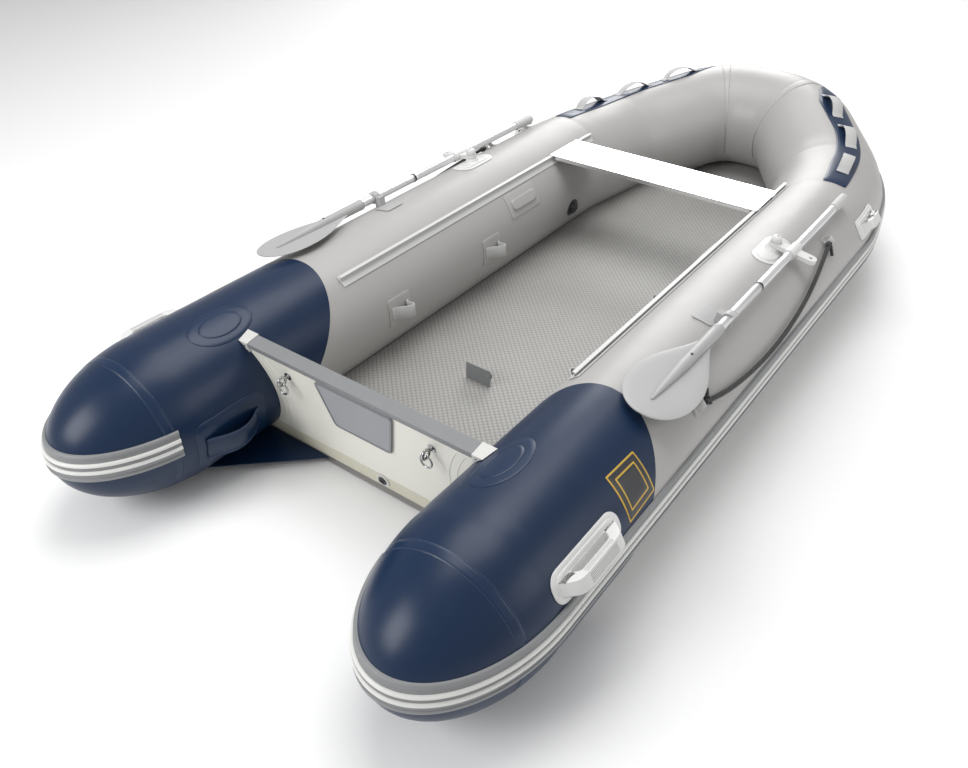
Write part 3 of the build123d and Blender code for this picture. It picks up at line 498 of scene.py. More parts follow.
# ---------------------------------------------------------------- geometry node trees
class Rows:
    """Geometry Nodes that put one small head on every point of a mesh, turned to its normal and its run."""

    SOCKETS = (("Length", "length"), ("Width", "width"), ("Height", "height"))

    def __init__(self, finish: Finish) -> None:
        """Builds the tree for one finish."""
        tree = bpy.data.node_groups.new(f"heads in {finish.name}", "GeometryNodeTree")
        tree.interface.new_socket("Points", in_out="INPUT", socket_type="NodeSocketGeometry")
        self.keys = {}
        for label, key in self.SOCKETS:
            socket = tree.interface.new_socket(label, in_out="INPUT", socket_type="NodeSocketFloat")
            self.keys[key] = socket.identifier
        tree.interface.new_socket("Heads", in_out="OUTPUT", socket_type="NodeSocketGeometry")
        graph = Graph(tree)
        source = graph.add("NodeGroupInput").outputs
        head = graph.add("GeometryNodeMeshUVSphere", None,
                         {"Segments": 8, "Rings": 6, "Radius": 0.5}).outputs[0]
        size = graph.add("ShaderNodeCombineXYZ", None, {0: source[1], 1: source[2], 2: source[3]}).outputs[0]
        out = graph.add("GeometryNodeInputNamedAttribute", {"data_type": "FLOAT_VECTOR"},
                        {"Name": "out"}).outputs[0]
        run = graph.add("GeometryNodeInputNamedAttribute", {"data_type": "FLOAT_VECTOR"},
                        {"Name": "run"}).outputs[0]
        turn = graph.add("FunctionNodeAxesToRotation", {"primary_axis": "Z", "secondary_axis": "X"},
                         {0: out, 1: run}).outputs[0]
        spread = graph.add("GeometryNodeInstanceOnPoints", None,
                           {"Points": source[0], "Instance": head, "Rotation": turn,
                            "Scale": size}).outputs[0]
        real = graph.add("GeometryNodeRealizeInstances", None, {0: spread}).outputs[0]
        soft = graph.add("GeometryNodeSetShadeSmooth", None, {0: real}).outputs[0]
        dress = graph.add("GeometryNodeSetMaterial", None,
                          {"Geometry": soft, "Material": finish.build()}).outputs[0]
        graph.add("NodeGroupOutput", None, {0: dress})
        self.tree = tree

    def spread(self, name: str, points: object, outward: object, run: object,
               length: float, width: float, height: float) -> bpy.types.Object:
        """Makes one mesh of heads.

        Args:
            name: the piece's name.
            points: where the heads stand.
            outward: each head's normal.
            run: each head's long direction.
            length: the head's size along its run.
            width: across it.
            height: along its normal.

        Returns:
            The heads as one plain mesh.
        """
        mesh = bpy.data.meshes.new(name)
        mesh.from_pydata(flat(points), [], [])
        for key, vectors in (("out", outward), ("run", run)):
            data = mesh.attributes.new(key, "FLOAT_VECTOR", "POINT")
            data.data.foreach_set("vector", np.asarray(vectors, np.float32).ravel())
        made = linked(name, mesh)
        modifier = made.modifiers.new("heads", "NODES")
        modifier.node_group = self.tree
        for key, value in (("length", length), ("width", width), ("height", height)):
            modifier[self.keys[key]] = value
        return baked(made)


# ---------------------------------------------------------------- hull surface
@dataclass
class HullLines:
    """The tubes' centre line and surface on the starboard side; port is its mirror."""

    radius: float = 0.217
    dome: float = 0.358
    joint_y: float = -1.392                              # where a rounded stern end begins
    half_beam: float = 0.561
    corners: tuple = ((0.561, 0.729, 0.217), (0.487, 1.127, 0.219), (0.176, 1.5303, 0.323))
    bends: tuple = (0.10, 0.16, 0.15)                    # how far each mitre is eased, along the tube
    colour_y: float = -1.021                             # where navy meets grey, at centre height
    colour_rise: float = 0.82
    colour_beam: float = -0.10
    step: float = 0.004
    points: np.ndarray = field(init=False)
    runs: np.ndarray = field(init=False)
    seams: list = field(init=False)

    def __post_init__(self) -> None:
        """Samples the centre line and finds each seam's place along it."""
        start = np.array([self.half_beam, self.joint_y, self.radius])
        corners = [np.array(c) for c in self.corners]
        end = corners[-1] * [0.0, 1.0, 1.0]
        stops = [start, *corners, end]
        line = [start]
        marks = []
        for before, corner, after, ease in zip(stops, stops[1:], stops[2:], self.bends):
            a = corner + (before - corner) / np.linalg.norm(before - corner) * ease
            b = corner + (after - corner) / np.linalg.norm(after - corner) * ease
            curve = rounding(a, corner, b, np.linspace(0, 1, 25)[:, None])
            marks.append(curve[12])
            line.extend(curve)
        line.append(end)
        line = np.array(line)
        run = travelled(line)
        self.runs = np.arange(0, run[-1] + self.step, self.step)
        self.runs[-1] = run[-1]
        self.points = np.stack([np.interp(self.runs, run, line[:, k]) for k in range(3)], 1)
        self.seams = [float(self.runs[np.argmin(np.linalg.norm(self.points - m, axis=1))]) for m in marks]

    @property
    def middle(self) -> float:
        """The run of the centre line from the dome's joint to the bow's middle."""
        return float(self.runs[-1])

    def run_of(self, y: float) -> float:
        """Returns the run at a place on the straight side tube."""
        return y - self.joint_y

    def frames(self, run: np.ndarray) -> tuple:
        """Returns the centre line's points, and the outboard, up and forward directions there."""
        run = np.asarray(run, float)
        inside = np.clip(run, 0, self.middle)
        centre = np.stack([np.interp(inside, self.runs, self.points[:, k]) for k in range(3)], -1)
        ways = np.gradient(self.points, self.runs, axis=0)
        way = np.stack([np.interp(inside, self.runs, ways[:, k]) for k in range(3)], -1)
        way /= np.linalg.norm(way, axis=-1, keepdims=True)
        outboard = np.cross(way, [0.0, 0.0, 1.0])
        outboard /= np.linalg.norm(outboard, axis=-1, keepdims=True)
        return centre, outboard, np.cross(outboard, way), way

    def surface(self, run: object, angle: object, offset: object = 0.0) -> np.ndarray:
        """Returns points on the tube.

        Args:
            run: distance forward of the dome's joint; negative on the rounded end.
            angle: degrees up from outboard.
            offset: distance outwards from the skin.

        Returns:
            The points, in metres.
        """
        run, angle, offset = np.broadcast_arrays(np.asarray(run, float), np.radians(angle), offset)
        centre, outboard, up, way = self.frames(run)
        back = np.clip(-run / self.dome, 0, 1)
        reach = (self.radius + offset) * np.sqrt(1 - back ** 2)
        radial = np.cos(angle)[..., None] * outboard + np.sin(angle)[..., None] * up
        tail = np.array([0.0, -1.0, 0.0]) * ((self.dome + offset) * back)[..., None]
        return centre + reach[..., None] * radial + tail

    def normal(self, run: float, angle: float) -> np.ndarray:
        """Returns the direction out of the tube."""
        _, outboard, up, _ = self.frames(np.array(run))
        return math.cos(math.radians(angle)) * outboard + math.sin(math.radians(angle)) * up

    def way(self, run: float) -> np.ndarray:
        """Returns the direction along the tube, towards the bow."""
        return self.frames(np.array(run))[3]

    def colour_run(self, angle: np.ndarray) -> np.ndarray:
        """Returns the run at which the navy panel ends, at each angle."""
        rise = self.radius * np.sin(np.radians(angle))
        beam = self.radius * np.cos(np.radians(angle))
        return self.run_of(self.colour_y) + self.colour_rise * rise + self.colour_beam * beam

    def pinch(self, run: np.ndarray) -> np.ndarray:
        """Returns how far a seam draws the skin in."""
        total = np.zeros_like(np.asarray(run, float))
        for seam in (0.0, *self.seams):
            total = total - 0.0015 * np.exp(-((run - seam) / 0.02) ** 2)
        return total


HULL = HullLines()


def sided(points: np.ndarray, side: int) -> np.ndarray:
    """Mirrors points to port when side is -1."""
    return np.asarray(points, float) * [side, 1.0, 1.0]


def wrap(name: str, run: float, angle: float, outline: np.ndarray, thickness: float, finish: Finish,
         side: int, lift: float = 0.0003, rings: int = 7) -> bpy.types.Object:
    """Makes a patch that lies on the tube, with a thin soft edge.

    Args:
        name: the piece's name.
        run: the patch's middle along the tube.
        angle: and round it, in degrees up from outboard.
        outline: points (along, around) in metres about the middle, in order round it.
        thickness: the patch's thickness.
        finish: its material.
        side: 1 for starboard, -1 for port.
        lift: gap under it.
        rings: how finely it follows the tube.

    Returns:
        The patch.
    """
    outline = np.asarray(outline, float)
    size = np.abs(outline).max()
    shares = [*np.linspace(0.06, 1 - 0.0012 / size, rings), 1.0, 1.0]
    heights = [*([lift + thickness] * rings), lift + thickness * 0.6, 0.0]
    rows = [HULL.surface(run + outline[:, 0] * k, angle + np.degrees(outline[:, 1] * k / HULL.radius), h)
            for k, h in zip(shares, heights)]
    count = len(outline)
    points = sided(np.concatenate([*rows, HULL.surface(run, angle, lift + thickness)[None]]), side)
    faces = grid_faces(len(rows), count, closed=True)
    centre = len(points) - 1
    faces += [(centre, (j + 1) % count, j) for j in range(count)]
    made = recalculated(piece(name, points, faces, finish))
    out = HULL.normal(run, angle) * [side, 1, 1]
    if np.dot(np.array(made.data.polygons[-1].normal), out) < 0:
        made.data.flip_normals()
    return made


def rounded_box(length: float, width: float, corner: float, steps: int = 6, bow: int = 6) -> np.ndarray:
    """Returns a rounded rectangle's outline with points along its sides too."""
    points = []
    for k, (sx, sy) in enumerate(((1, 1), (-1, 1), (-1, -1), (1, -1))):
        centre = np.array([sx * (length / 2 - corner), sy * (width / 2 - corner)])
        for t in np.linspace(0, 90, steps):
            a = math.radians(k * 90 + t)
            points.append(centre + corner * np.array([math.cos(a), math.sin(a)]))
    return densified(np.array(points), bow)


def densified(points: np.ndarray, parts: int) -> np.ndarray:
    """Splits each long side of a closed outline into parts."""
    out = []
    span = np.linalg.norm(np.roll(points, -1, 0) - points, axis=1)
    for point, after, length in zip(points, np.roll(points, -1, 0), span):
        count = parts if length > 0.25 * span.max() else 1
        out.extend(point + (after - point) * k / count for k in range(count))
    return np.array(out)


def ellipse(length: float, width: float, count: int = 64) -> np.ndarray:
    """Returns an ellipse's outline from its full sizes."""
    t = circle(count)
    return np.stack([np.cos(t) * length / 2, np.sin(t) * width / 2], 1)


def rounded_polygon(corners: Sequence, corner: float, steps: int = 5) -> np.ndarray:
    """Returns a polygon's outline with each corner eased over a distance."""
    corners = np.asarray(corners, float)
    out = []
    for before, point, after in zip(np.roll(corners, 1, 0), corners, np.roll(corners, -1, 0)):
        a = point + (before - point) / np.linalg.norm(before - point) * corner
        b = point + (after - point) / np.linalg.norm(after - point) * corner
        out.extend(rounding(a, point, b, np.linspace(0, 1, steps)[:, None]))
    return densified(np.array(out), 8)


@dataclass(frozen=True)
class Place:
    """A right-handed frame: its own x, y and z in the hull's axes."""

    origin: np.ndarray
    x: np.ndarray
    y: np.ndarray
    z: np.ndarray

    @staticmethod
    def on_tube(run: float, angle: float, side: int, height: float = 0.0) -> "Place":
        """Returns the frame on the skin: z out of it, x towards the bow, y round it."""
        mirror = np.array([side, 1.0, 1.0])
        z = HULL.normal(run, angle) * mirror
        x = HULL.way(run) * mirror
        return Place(HULL.surface(run, angle, height) * mirror, x, np.cross(z, x), z)

    def world(self, points: object) -> np.ndarray:
        """Returns local points in the hull's frame."""
        points = np.asarray(points, float)
        return self.origin + points[..., :1] * self.x + points[..., 1:2] * self.y + points[..., 2:3] * self.z


def lathe(name: str, place: Place, profile: Sequence, finish: Finish, sides: int = 40) -> bpy.types.Object:
    """Turns a profile of (radius, height) about a frame's z axis."""
    profile = np.asarray(profile, float)
    t = circle(sides)
    rows = [np.stack([r * np.cos(t), r * np.sin(t), np.full(sides, h)], 1) for r, h in profile]
    made = recalculated(piece(name, place.world(np.concatenate(rows)), grid_faces(len(rows), sides, True),
                              finish))
    return sharpened(made)


def sharpened(made: bpy.types.Object, angle: float = 40.0) -> bpy.types.Object:
    """Keeps the edges sharper than an angle crisp in a smooth shaded mesh."""
    made.data.set_sharp_from_angle(angle=math.radians(angle))
    return made


def ring_torus(name: str, place: Place, radius: float, wire: float, finish: Finish) -> bpy.types.Object:
    """Makes a round ring of wire in a frame's own xy plane."""
    t, u = circle(48), circle(16)
    rows = [[((radius + wire * math.cos(b)) * math.cos(a), (radius + wire * math.cos(b)) * math.sin(a),
              wire * math.sin(b)) for b in u] for a in t]
    rows.append(rows[0])
    points = place.world(np.array(rows).reshape(-1, 3))
    return recalculated(piece(name, points, grid_faces(len(rows), len(u), True), finish))


def strap(name: str, place: Place, line: Sequence, width: float, thickness: float, finish: Finish = WEBBING
          ) -> bpy.types.Object:
    """Makes a strap whose middle line is (x, z) points in a frame, and whose width lies along its y.

    Args:
        name: the piece's name.
        place: the frame.
        line: the strap's middle line.
        width: the strap's width.
        thickness: its thickness.
        finish: its material.

    Returns:
        The strap, with a UV map in metres.
    """
    line = np.asarray(line, float)
    way = np.gradient(line, axis=0)
    way /= np.linalg.norm(way, axis=1)[:, None]
    out = np.stack([-way[:, 1], way[:, 0]], 1)
    run = travelled(line)
    h, e = thickness / 2, min(0.0008, thickness / 3)
    section = [(-width / 2, -h + e), (-width / 2, h - e), (-width / 2 + e, h), (0, h), (width / 2 - e, h),
               (width / 2, h - e), (width / 2, -h + e), (width / 2 - e, -h), (0, -h), (-width / 2 + e, -h)]
    rows = [[(p[0] + o[0] * t, y, p[1] + o[1] * t) for y, t in section] for p, o in zip(line, out)]
    count = len(section)
    faces = grid_faces(len(line), count, True) + end_caps(len(line), count)
    made = piece(name, place.world(np.array(rows).reshape(-1, 3)), faces, finish)
    layer = made.data.uv_layers.new(name="strap")
    for loop in made.data.loops:
        row, column = divmod(loop.vertex_index, count)
        layer.data[loop.index].uv = (section[column][0], run[row])
    return sharpened(recalculated(made, 0.0), 50.0)


def eased(points: Sequence, count: int = 8) -> np.ndarray:
    """Returns a smooth line through corner-cutting curves between points."""
    points = np.asarray(points, float)
    out = [points[0]]
    for before, point, after in zip(points, points[1:], points[2:]):
        out.extend(rounding((before + point) / 2, point, (point + after) / 2,
                            np.linspace(0, 1, count)[:, None]))
    out.append(points[-1])
    keep = [0] + [i for i in range(1, len(out)) if np.linalg.norm(out[i] - out[i - 1]) > 1e-6]
    return np.array([out[i] for i in keep])


# ---------------------------------------------------------------- hull sub-assemblies
@dataclass
class Tubes:
    """The inflated skins: navy stern ends, grey sides and the eased bow, with taped seams."""

    columns: int = 112
    under: float = 0.0008        # the grey skin lies this far below the navy one
    overlap: float = 0.02
    tape_half: float = 0.0165
    tape_thickness: float = 0.0010
    ring_back: float = 0.128     # how far behind the dome's joint the stern end's seam lies
    ring_half: float = 0.013

    def angles(self) -> np.ndarray:
        """Returns the angles of the skin's columns."""
        return np.linspace(0, 360, self.columns, endpoint=False)

    def skin(self, name: str, runs: np.ndarray, offset: float, finish: Finish, side: int) -> bpy.types.Object:
        """Makes a skin from a table of runs, one row for each ring of it."""
        angles = np.broadcast_to(self.angles(), runs.shape)
        points = sided(HULL.surface(runs, angles, offset + HULL.pinch(runs)), side)
        made = piece(name, points, grid_faces(runs.shape[0], self.columns, True), finish)
        return recalculated(made, 1e-6)

    def stern(self, label: str, side: int) -> None:
        """Builds one navy stern end."""
        ends = HULL.colour_run(self.angles())
        back = -HULL.dome * np.cos(np.linspace(0, np.pi / 2, 34))
        dome = np.repeat(back[:, None], self.columns, 1)
        straight = np.linspace(0, 1, 30)[1:, None] * ends[None]
        made = self.skin(f"stern_skin_{label}", np.concatenate([dome, straight]), 0.0, NAVY, side)
        put(made, "hull", Slot.NAVY, f"stern_tube_{label}")

    def sides(self, label: str, side: int) -> None:
        """Builds one grey side, from under the navy panel to the first bow seam."""
        start = HULL.colour_run(self.angles()) - self.overlap
        share = np.linspace(0, 1, 56)[:, None]
        runs = start[None] * (1 - share) + HULL.seams[0] * share
        put(self.skin(f"side_skin_{label}", runs, -self.under, GREY, side), "hull", Slot.GREY,
            f"side_tube_{label}")

    def bow(self, label: str, side: int) -> None:
        """Builds one bow quarter, between the first seam and the last."""
        runs = np.repeat(np.linspace(HULL.seams[0], HULL.seams[2], 90)[:, None], self.columns, 1)
        made = self.skin(f"bow_skin_{label}", runs, -self.under, GREY, side)
        put(made, "hull", Slot.GREY, f"bow_quarter_{label}")

    def front(self) -> None:
        """Builds the bow's middle panel in one piece across the boat."""
        runs = np.linspace(HULL.seams[2], HULL.middle, 24)
        half = HULL.surface(runs[:, None], self.angles()[None], -self.under + HULL.pinch(runs)[:, None])
        whole = np.concatenate([half, sided(half[::-1], -1)[1:]])
        made = piece("bow_skin_middle", whole, grid_faces(len(whole), self.columns, True), GREY)
        put(recalculated(made, 1e-6), "hull", Slot.GREY, "bow_centre")

    def tape(self, name: str, run: float, finish: Finish, side: int, half: Optional[float] = None
             ) -> bpy.types.Object:
        """Makes a tape round the tube over a seam."""
        half = half or self.tape_half
        edge = 0.0012
        runs = np.array([-half, -half + edge, -half / 2, 0, half / 2, half - edge, half]) + run
        rise = np.array([-0.002, 1, 1, 1, 1, 1, -0.002]) * self.tape_thickness
        rise[[0, -1]] = -0.0016
        points = HULL.surface(runs[:, None], self.angles()[None], rise[:, None] - 0.0006)
        return recalculated(piece(name, sided(points, side), grid_faces(7, self.columns, True), finish))

    def build(self) -> None:
        """Builds every skin and tape."""
        self.front()
        for label, side in SIDES.items():
            self.stern(label, side)
            self.sides(label, side)
            self.bow(label, side)
            put(self.tape(f"seam_tape_nose_{label}", HULL.seams[2], GREY_TAPE, side), "hull", Slot.GREY)
            back = -self.ring_back
            # The two thin lines at the seam tape's edges are in the lighter navy: a painted highlight.
            lines = [self.tape("edge", back + k * self.ring_half, NAVY_EDGE_HIGHLIGHT, side, 0.0016) for k in (-1, 1)]
            seam = joined(f"seam_tape_stern_{label}",
                          [self.tape("seam", back, NAVY_TAPE, side, self.ring_half)] + lines)
            put(seam, "hull", Slot.NAVY)
        for node in ("chamber_baffles", "hull_bottom", "inflatable_keel"):
            dressed(node, GREY)
        dressed("aft_gussets", NAVY)


@dataclass
class RubStrake:
    """The grey strake with its two pale ribs, round the whole outside of the hull."""

    low: float = -0.014
    high: float = 0.064
    base: float = 0.004
    lip: float = 0.0075
    lip_width: float = 0.011
    rib: float = 0.0095
    ribs: tuple = ((0.010, 0.021), (0.0315, 0.0425))
    end_turn: float = -72.0      # degrees round the stern end, from its tip, on the inner side

    def row(self, height: float, offset: float) -> np.ndarray:
        """Returns one line along the starboard half, from the inner stern end to the bow's middle."""
        grown = HULL.radius + offset
        across = math.sqrt(grown ** 2 - height ** 2)
        along = (HULL.dome + offset) * across / grown
        turn = np.radians(np.linspace(self.end_turn, 90, 60))
        stern = np.stack([HULL.half_beam + across * np.sin(turn), HULL.joint_y - along * np.cos(turn),
                          np.full(60, HULL.radius + height)], 1)
        runs = np.concatenate([np.linspace(0, HULL.seams[0], 30)[1:],
                               np.linspace(HULL.seams[0], HULL.middle, 90)[1:]])
        return np.concatenate([stern, HULL.surface(runs, math.degrees(math.asin(height / grown)), offset)])

    def band(self, name: str, profile: Sequence, finish: Finish) -> bpy.types.Object:
        """Sweeps a closed profile of (height, offset) round the whole hull."""
        half = np.stack([self.row(height, offset) for height, offset in profile], 1)
        whole = np.concatenate([half, sided(half[::-1], -1)[1:]])
        count = len(profile)
        faces = grid_faces(len(whole), count, True)
        faces += [tuple(range(count)), tuple((len(whole) - 1) * count + i for i in range(count))[::-1]]
        return sharpened(recalculated(piece(name, whole, faces, finish)), 50)

    def arch(self, low: float, high: float, top: float) -> list:
        """Returns a rounded rise of the profile between two heights."""
        middle, half = (low + high) / 2, (high - low) / 2
        return [(middle - half * math.cos(a), self.base - 0.0005 + (top - self.base) * math.sin(a) ** 0.7)
                for a in np.linspace(0, np.pi, 9)]

    def build(self) -> None:
        """Builds the base band with its lips, and the ribs."""
        lower = [(self.low, 0.0), *self.arch(self.low, self.low + self.lip_width, self.lip)]
        upper = [*self.arch(self.high - self.lip_width, self.high, self.lip), (self.high, 0.0)]
        inside = [(self.high * k + self.low * (1 - k), 0.0) for k in (0.7, 0.35)]
        base = lower + [(h, self.base) for low, high in self.ribs
                        for h in (low + 0.001, high - 0.001)] + upper + inside
        put(self.band("strake_base", base, STRAKE), "hull", Slot.STRAKE, "rub_strake")
        ribs = []
        for low, high in self.ribs:
            ribs.append(self.band("strake_rib", self.arch(low, high, self.rib), STRAKE_RIB))
        put(joined("strake_ribs", ribs), "hull", Slot.STRAKE)


@dataclass
class Floor:
    """The air deck, its valve and the valve's flap."""

    def build(self) -> None:
        """Dresses the deck and rounds the flap."""
        dressed("air_deck", DECK)
        rounded("deck_valve", "floor_valve", DARK, 0.0008, "hull", Slot.DARK)
        rounded("valve_flap", "floor_flap", TRIM, 0.0009, "floor_flap", Slot.DECK)


# ---------------------------------------------------------------- transom and seat
@dataclass
class Transom:
    """The raked board with its capping, pads, eyes, rings and drain."""

    foot_y: float = -1.145
    foot_z: float = 0.031
    rake: float = 10.0
    height: float = 0.364
    board: float = 0.035
    eye_x: float = 0.256
    eye_height: float = 0.300
    eye_out: float = 0.024
    eye_radius: float = 0.013
    eye_wire: float = 0.004
    ring_radius: float = 0.018
    ring_wire: float = 0.003
    ring_drop: float = 0.0054
    rows: Rows = field(default_factory=lambda: Rows(STEEL))

    def place(self, x: float, height: float, out: float = 0.0) -> Place:
        """Returns a frame on the after face: x across, y up the board, z aft."""
        a = math.radians(self.rake)
        up = np.array([0.0, -math.sin(a), math.cos(a)])
        aft = np.array([0.0, -math.cos(a), -math.sin(a)])
        origin = np.array([x, self.foot_y, self.foot_z]) + up * height + aft * out
        return Place(origin, np.array([1.0, 0.0, 0.0]), up, aft)

    def eye(self, side: int) -> bpy.types.Object:
        """Makes an eye bolt: eye, collar, washer and the nut in front."""
        centre = self.place(side * self.eye_x, self.eye_height, self.eye_out)
        upright = Place(centre.origin, centre.y, centre.z, centre.x)
        eye = ring_torus("eye", upright, self.eye_radius, self.eye_wire, STEEL)
        low = -self.eye_out
        shank = lathe("shank", centre, [(0.0, low), (0.0055, low), (0.0055, low + 0.006),
                                        (0.0038, low + 0.0085),
                                        (0.0038, -self.eye_radius), (0.0, -self.eye_radius)], STEEL, 24)
        washer = lathe("washer", centre, [(0.0, low + 0.0003), (0.0125, low + 0.0003), (0.013, low + 0.0008),
                                          (0.0125, low + 0.002), (0.0, low + 0.0022)], STEEL)
        back = low - self.board
        nut = lathe("nut", centre, [(0.0, back - 0.007), (0.0075, back - 0.007), (0.0082, back - 0.006),
                                    (0.0082, back - 0.0005), (0.0, back - 0.0005)], STEEL, 6)
        return joined(f"eye_bolt_{side}", [eye, shank, washer, nut])

    def ring(self, label: str, side: int) -> None:
        """Hangs a ring through an eye."""
        hook = self.place(side * self.eye_x, self.eye_height, self.eye_out).origin - [0, 0, self.ring_drop]
        axes = (np.array([1.0, 0, 0]), np.array([0, 0, 1.0]), np.array([0, -1.0, 0]))
        place = Place(hook - [0, 0, self.ring_radius], *axes)
        made = ring_torus(f"hanging_ring_{label}", place, self.ring_radius, self.ring_wire, STEEL)
        put(made, f"ring_{label}", Slot.STEEL, f"ring_{label}")

    def screws(self) -> None:
        """Sets the corner caps' domed screws."""
        points, out = [], []
        for side in (1, -1):
            for height in (self.height - 0.024, self.height - 0.009):
                for face, way in ((0.0062, 1), (-self.board - 0.0062, -1)):
                    place = self.place(side * 0.4035, height, face)
                    points.append(place.origin)
                    out.append(place.z * way)
        made = self.rows.spread("corner_screws", points, out, [[1, 0, 0]] * len(points), 0.0075, 0.0075,
                                0.003)
        put(made, "hull", Slot.STEEL, "transom_screws")

    def pad_frame(self) -> None:
        """Lays a raised lip round the motor pad."""
        corners = [(-0.102, 0.190), (0.102, 0.190), (0.138, 0.345), (-0.138, 0.345)]
        outer = rounded_polygon(corners, 0.014)
        middle = outer.mean(0)
        inner = middle + (outer - middle) * [0.955, 0.93]
        place = self.place(0, 0)
        levels = [(outer, 0.0062), (outer, 0.0076), (inner, 0.0076), (inner, 0.0062)]
        rows = np.concatenate([np.column_stack([line, np.full(len(line), h)]) for line, h in levels])
        faces = grid_faces(4, len(outer), True)
        made = sharpened(recalculated(piece("motor_pad_lip", place.world(rows), faces, TRIM)))
        put(made, "hull", Slot.PAD)

    def tube_edge(self, height: float, away: float) -> float:
        """Returns how far out the after face reaches at a height, stopping short of the tube."""
        grown = HULL.radius + away
        drop = self.place(0, height).origin[2] - HULL.radius
        return HULL.half_beam - math.sqrt(max(grown ** 2 - drop ** 2, 0.0))

    def foot_tape(self) -> None:
        """Lays the beige tape along the board's foot."""
        heights = np.linspace(0.001, 0.050, 8)
        right = [(self.tube_edge(h, 0.002), h) for h in heights]
        outline = np.array(right + [(-x, h) for x, h in right[::-1]])
        place, count = self.place(0, 0), len(outline)
        rows = np.concatenate([np.column_stack([outline, np.full(count, out)]) for out in (0.0002, 0.0010)])
        faces = grid_faces(2, count, True) + [tuple(range(count, 2 * count))]
        made = sharpened(recalculated(piece("transom_foot_tape", place.world(rows), faces, BEIGE)))
        put(made, "hull", Slot.BOARD)

    def flanges(self) -> None:
        """Lays the thin edges of the flanges that follow the tubes."""
        beads = []
        for side in (1, -1):
            for away in (0.022, 0.046):
                line = [(side * self.tube_edge(h, away), h, 0.0002)
                        for h in np.linspace(0.052, self.height - 0.036, 30)]
                beads.append(swept("bead", self.place(0, 0).world(np.array(line)), 0.0009, BOARD, 8))
        put(joined("transom_flange_edges", beads), "hull", Slot.BOARD)

    def build(self) -> None:
        """Builds and dresses the whole transom."""
        rounded("board", "transom_board", BOARD, 0.003, "hull", Slot.BOARD)
        rounded("capping", "transom_capping", TRIM, 0.0018, "hull", Slot.TRIM)
        rounded("corner_caps", "transom_corner_caps", CAP, 0.0022, "hull", Slot.CAP)
        rounded("pad_aft", "motor_pad_aft", PAD, 0.0015, "hull", Slot.PAD)
        rounded("pad_forward", "motor_pad_forward", PAD, 0.001, "hull", Slot.PAD)
        self.pad_frame()
        put(joined("eye_bolts", [self.eye(1), self.eye(-1)]), "hull", Slot.STEEL, "transom_eye_bolts")
        for label, side in SIDES.items():
            self.ring(label, side)
            outer = wrap("patch", HULL.run_of(-1.221), 110, ellipse(0.21, 0.124), 0.0008, NAVY_TAPE, side)
            inner = wrap("patch", HULL.run_of(-1.221), 110, ellipse(0.142, 0.078), 0.0016, NAVY_TAPE, side)
            put(joined(f"transom_doubler_{label}", [outer, inner]), "hull", Slot.NAVY,
                *once(side, "transom_patches"))
        self.screws()
        self.foot_tape()
        self.flanges()
        rounded("drain_tube", "drain_fitting", CAP, 0.0012, "hull", Slot.DARK)
        rounded("drain_stopper", "drain_plug", DARK, 0.0008, "drain_plug", Slot.DARK)


@dataclass
class Seat:
    """The sliding thwart, its hooks and the rails."""

    rivet_x: tuple = (0.397, 0.419)
    rivet_y: tuple = (0.43, 0.57)
    top: float = 0.4069
    rows: Rows = field(default_factory=lambda: Rows(STEEL))

    def build(self) -> None:
        """Builds the seat."""
        rounded("seat_plate", "thwart", ALUMINIUM, 0.0009, "thwart", Slot.ALUMINIUM, 3)
        rounded("seat_hooks", "thwart_hooks", ALUMINIUM, 0.0004, "thwart", Slot.ALUMINIUM)
        rounded("rails", "seat_rails", RAIL, 0.0007, "hull", Slot.RAIL)
        points = [(side * x, y, self.top) for side in (1, -1) for x in self.rivet_x for y in self.rivet_y]
        count = len(points)
        made = self.rows.spread("seat_rivets", points, [[0, 0, 1]] * count, [[1, 0, 0]] * count, 0.009, 0.009,
                                0.0028)
        put(made, "thwart", Slot.ALUMINIUM)


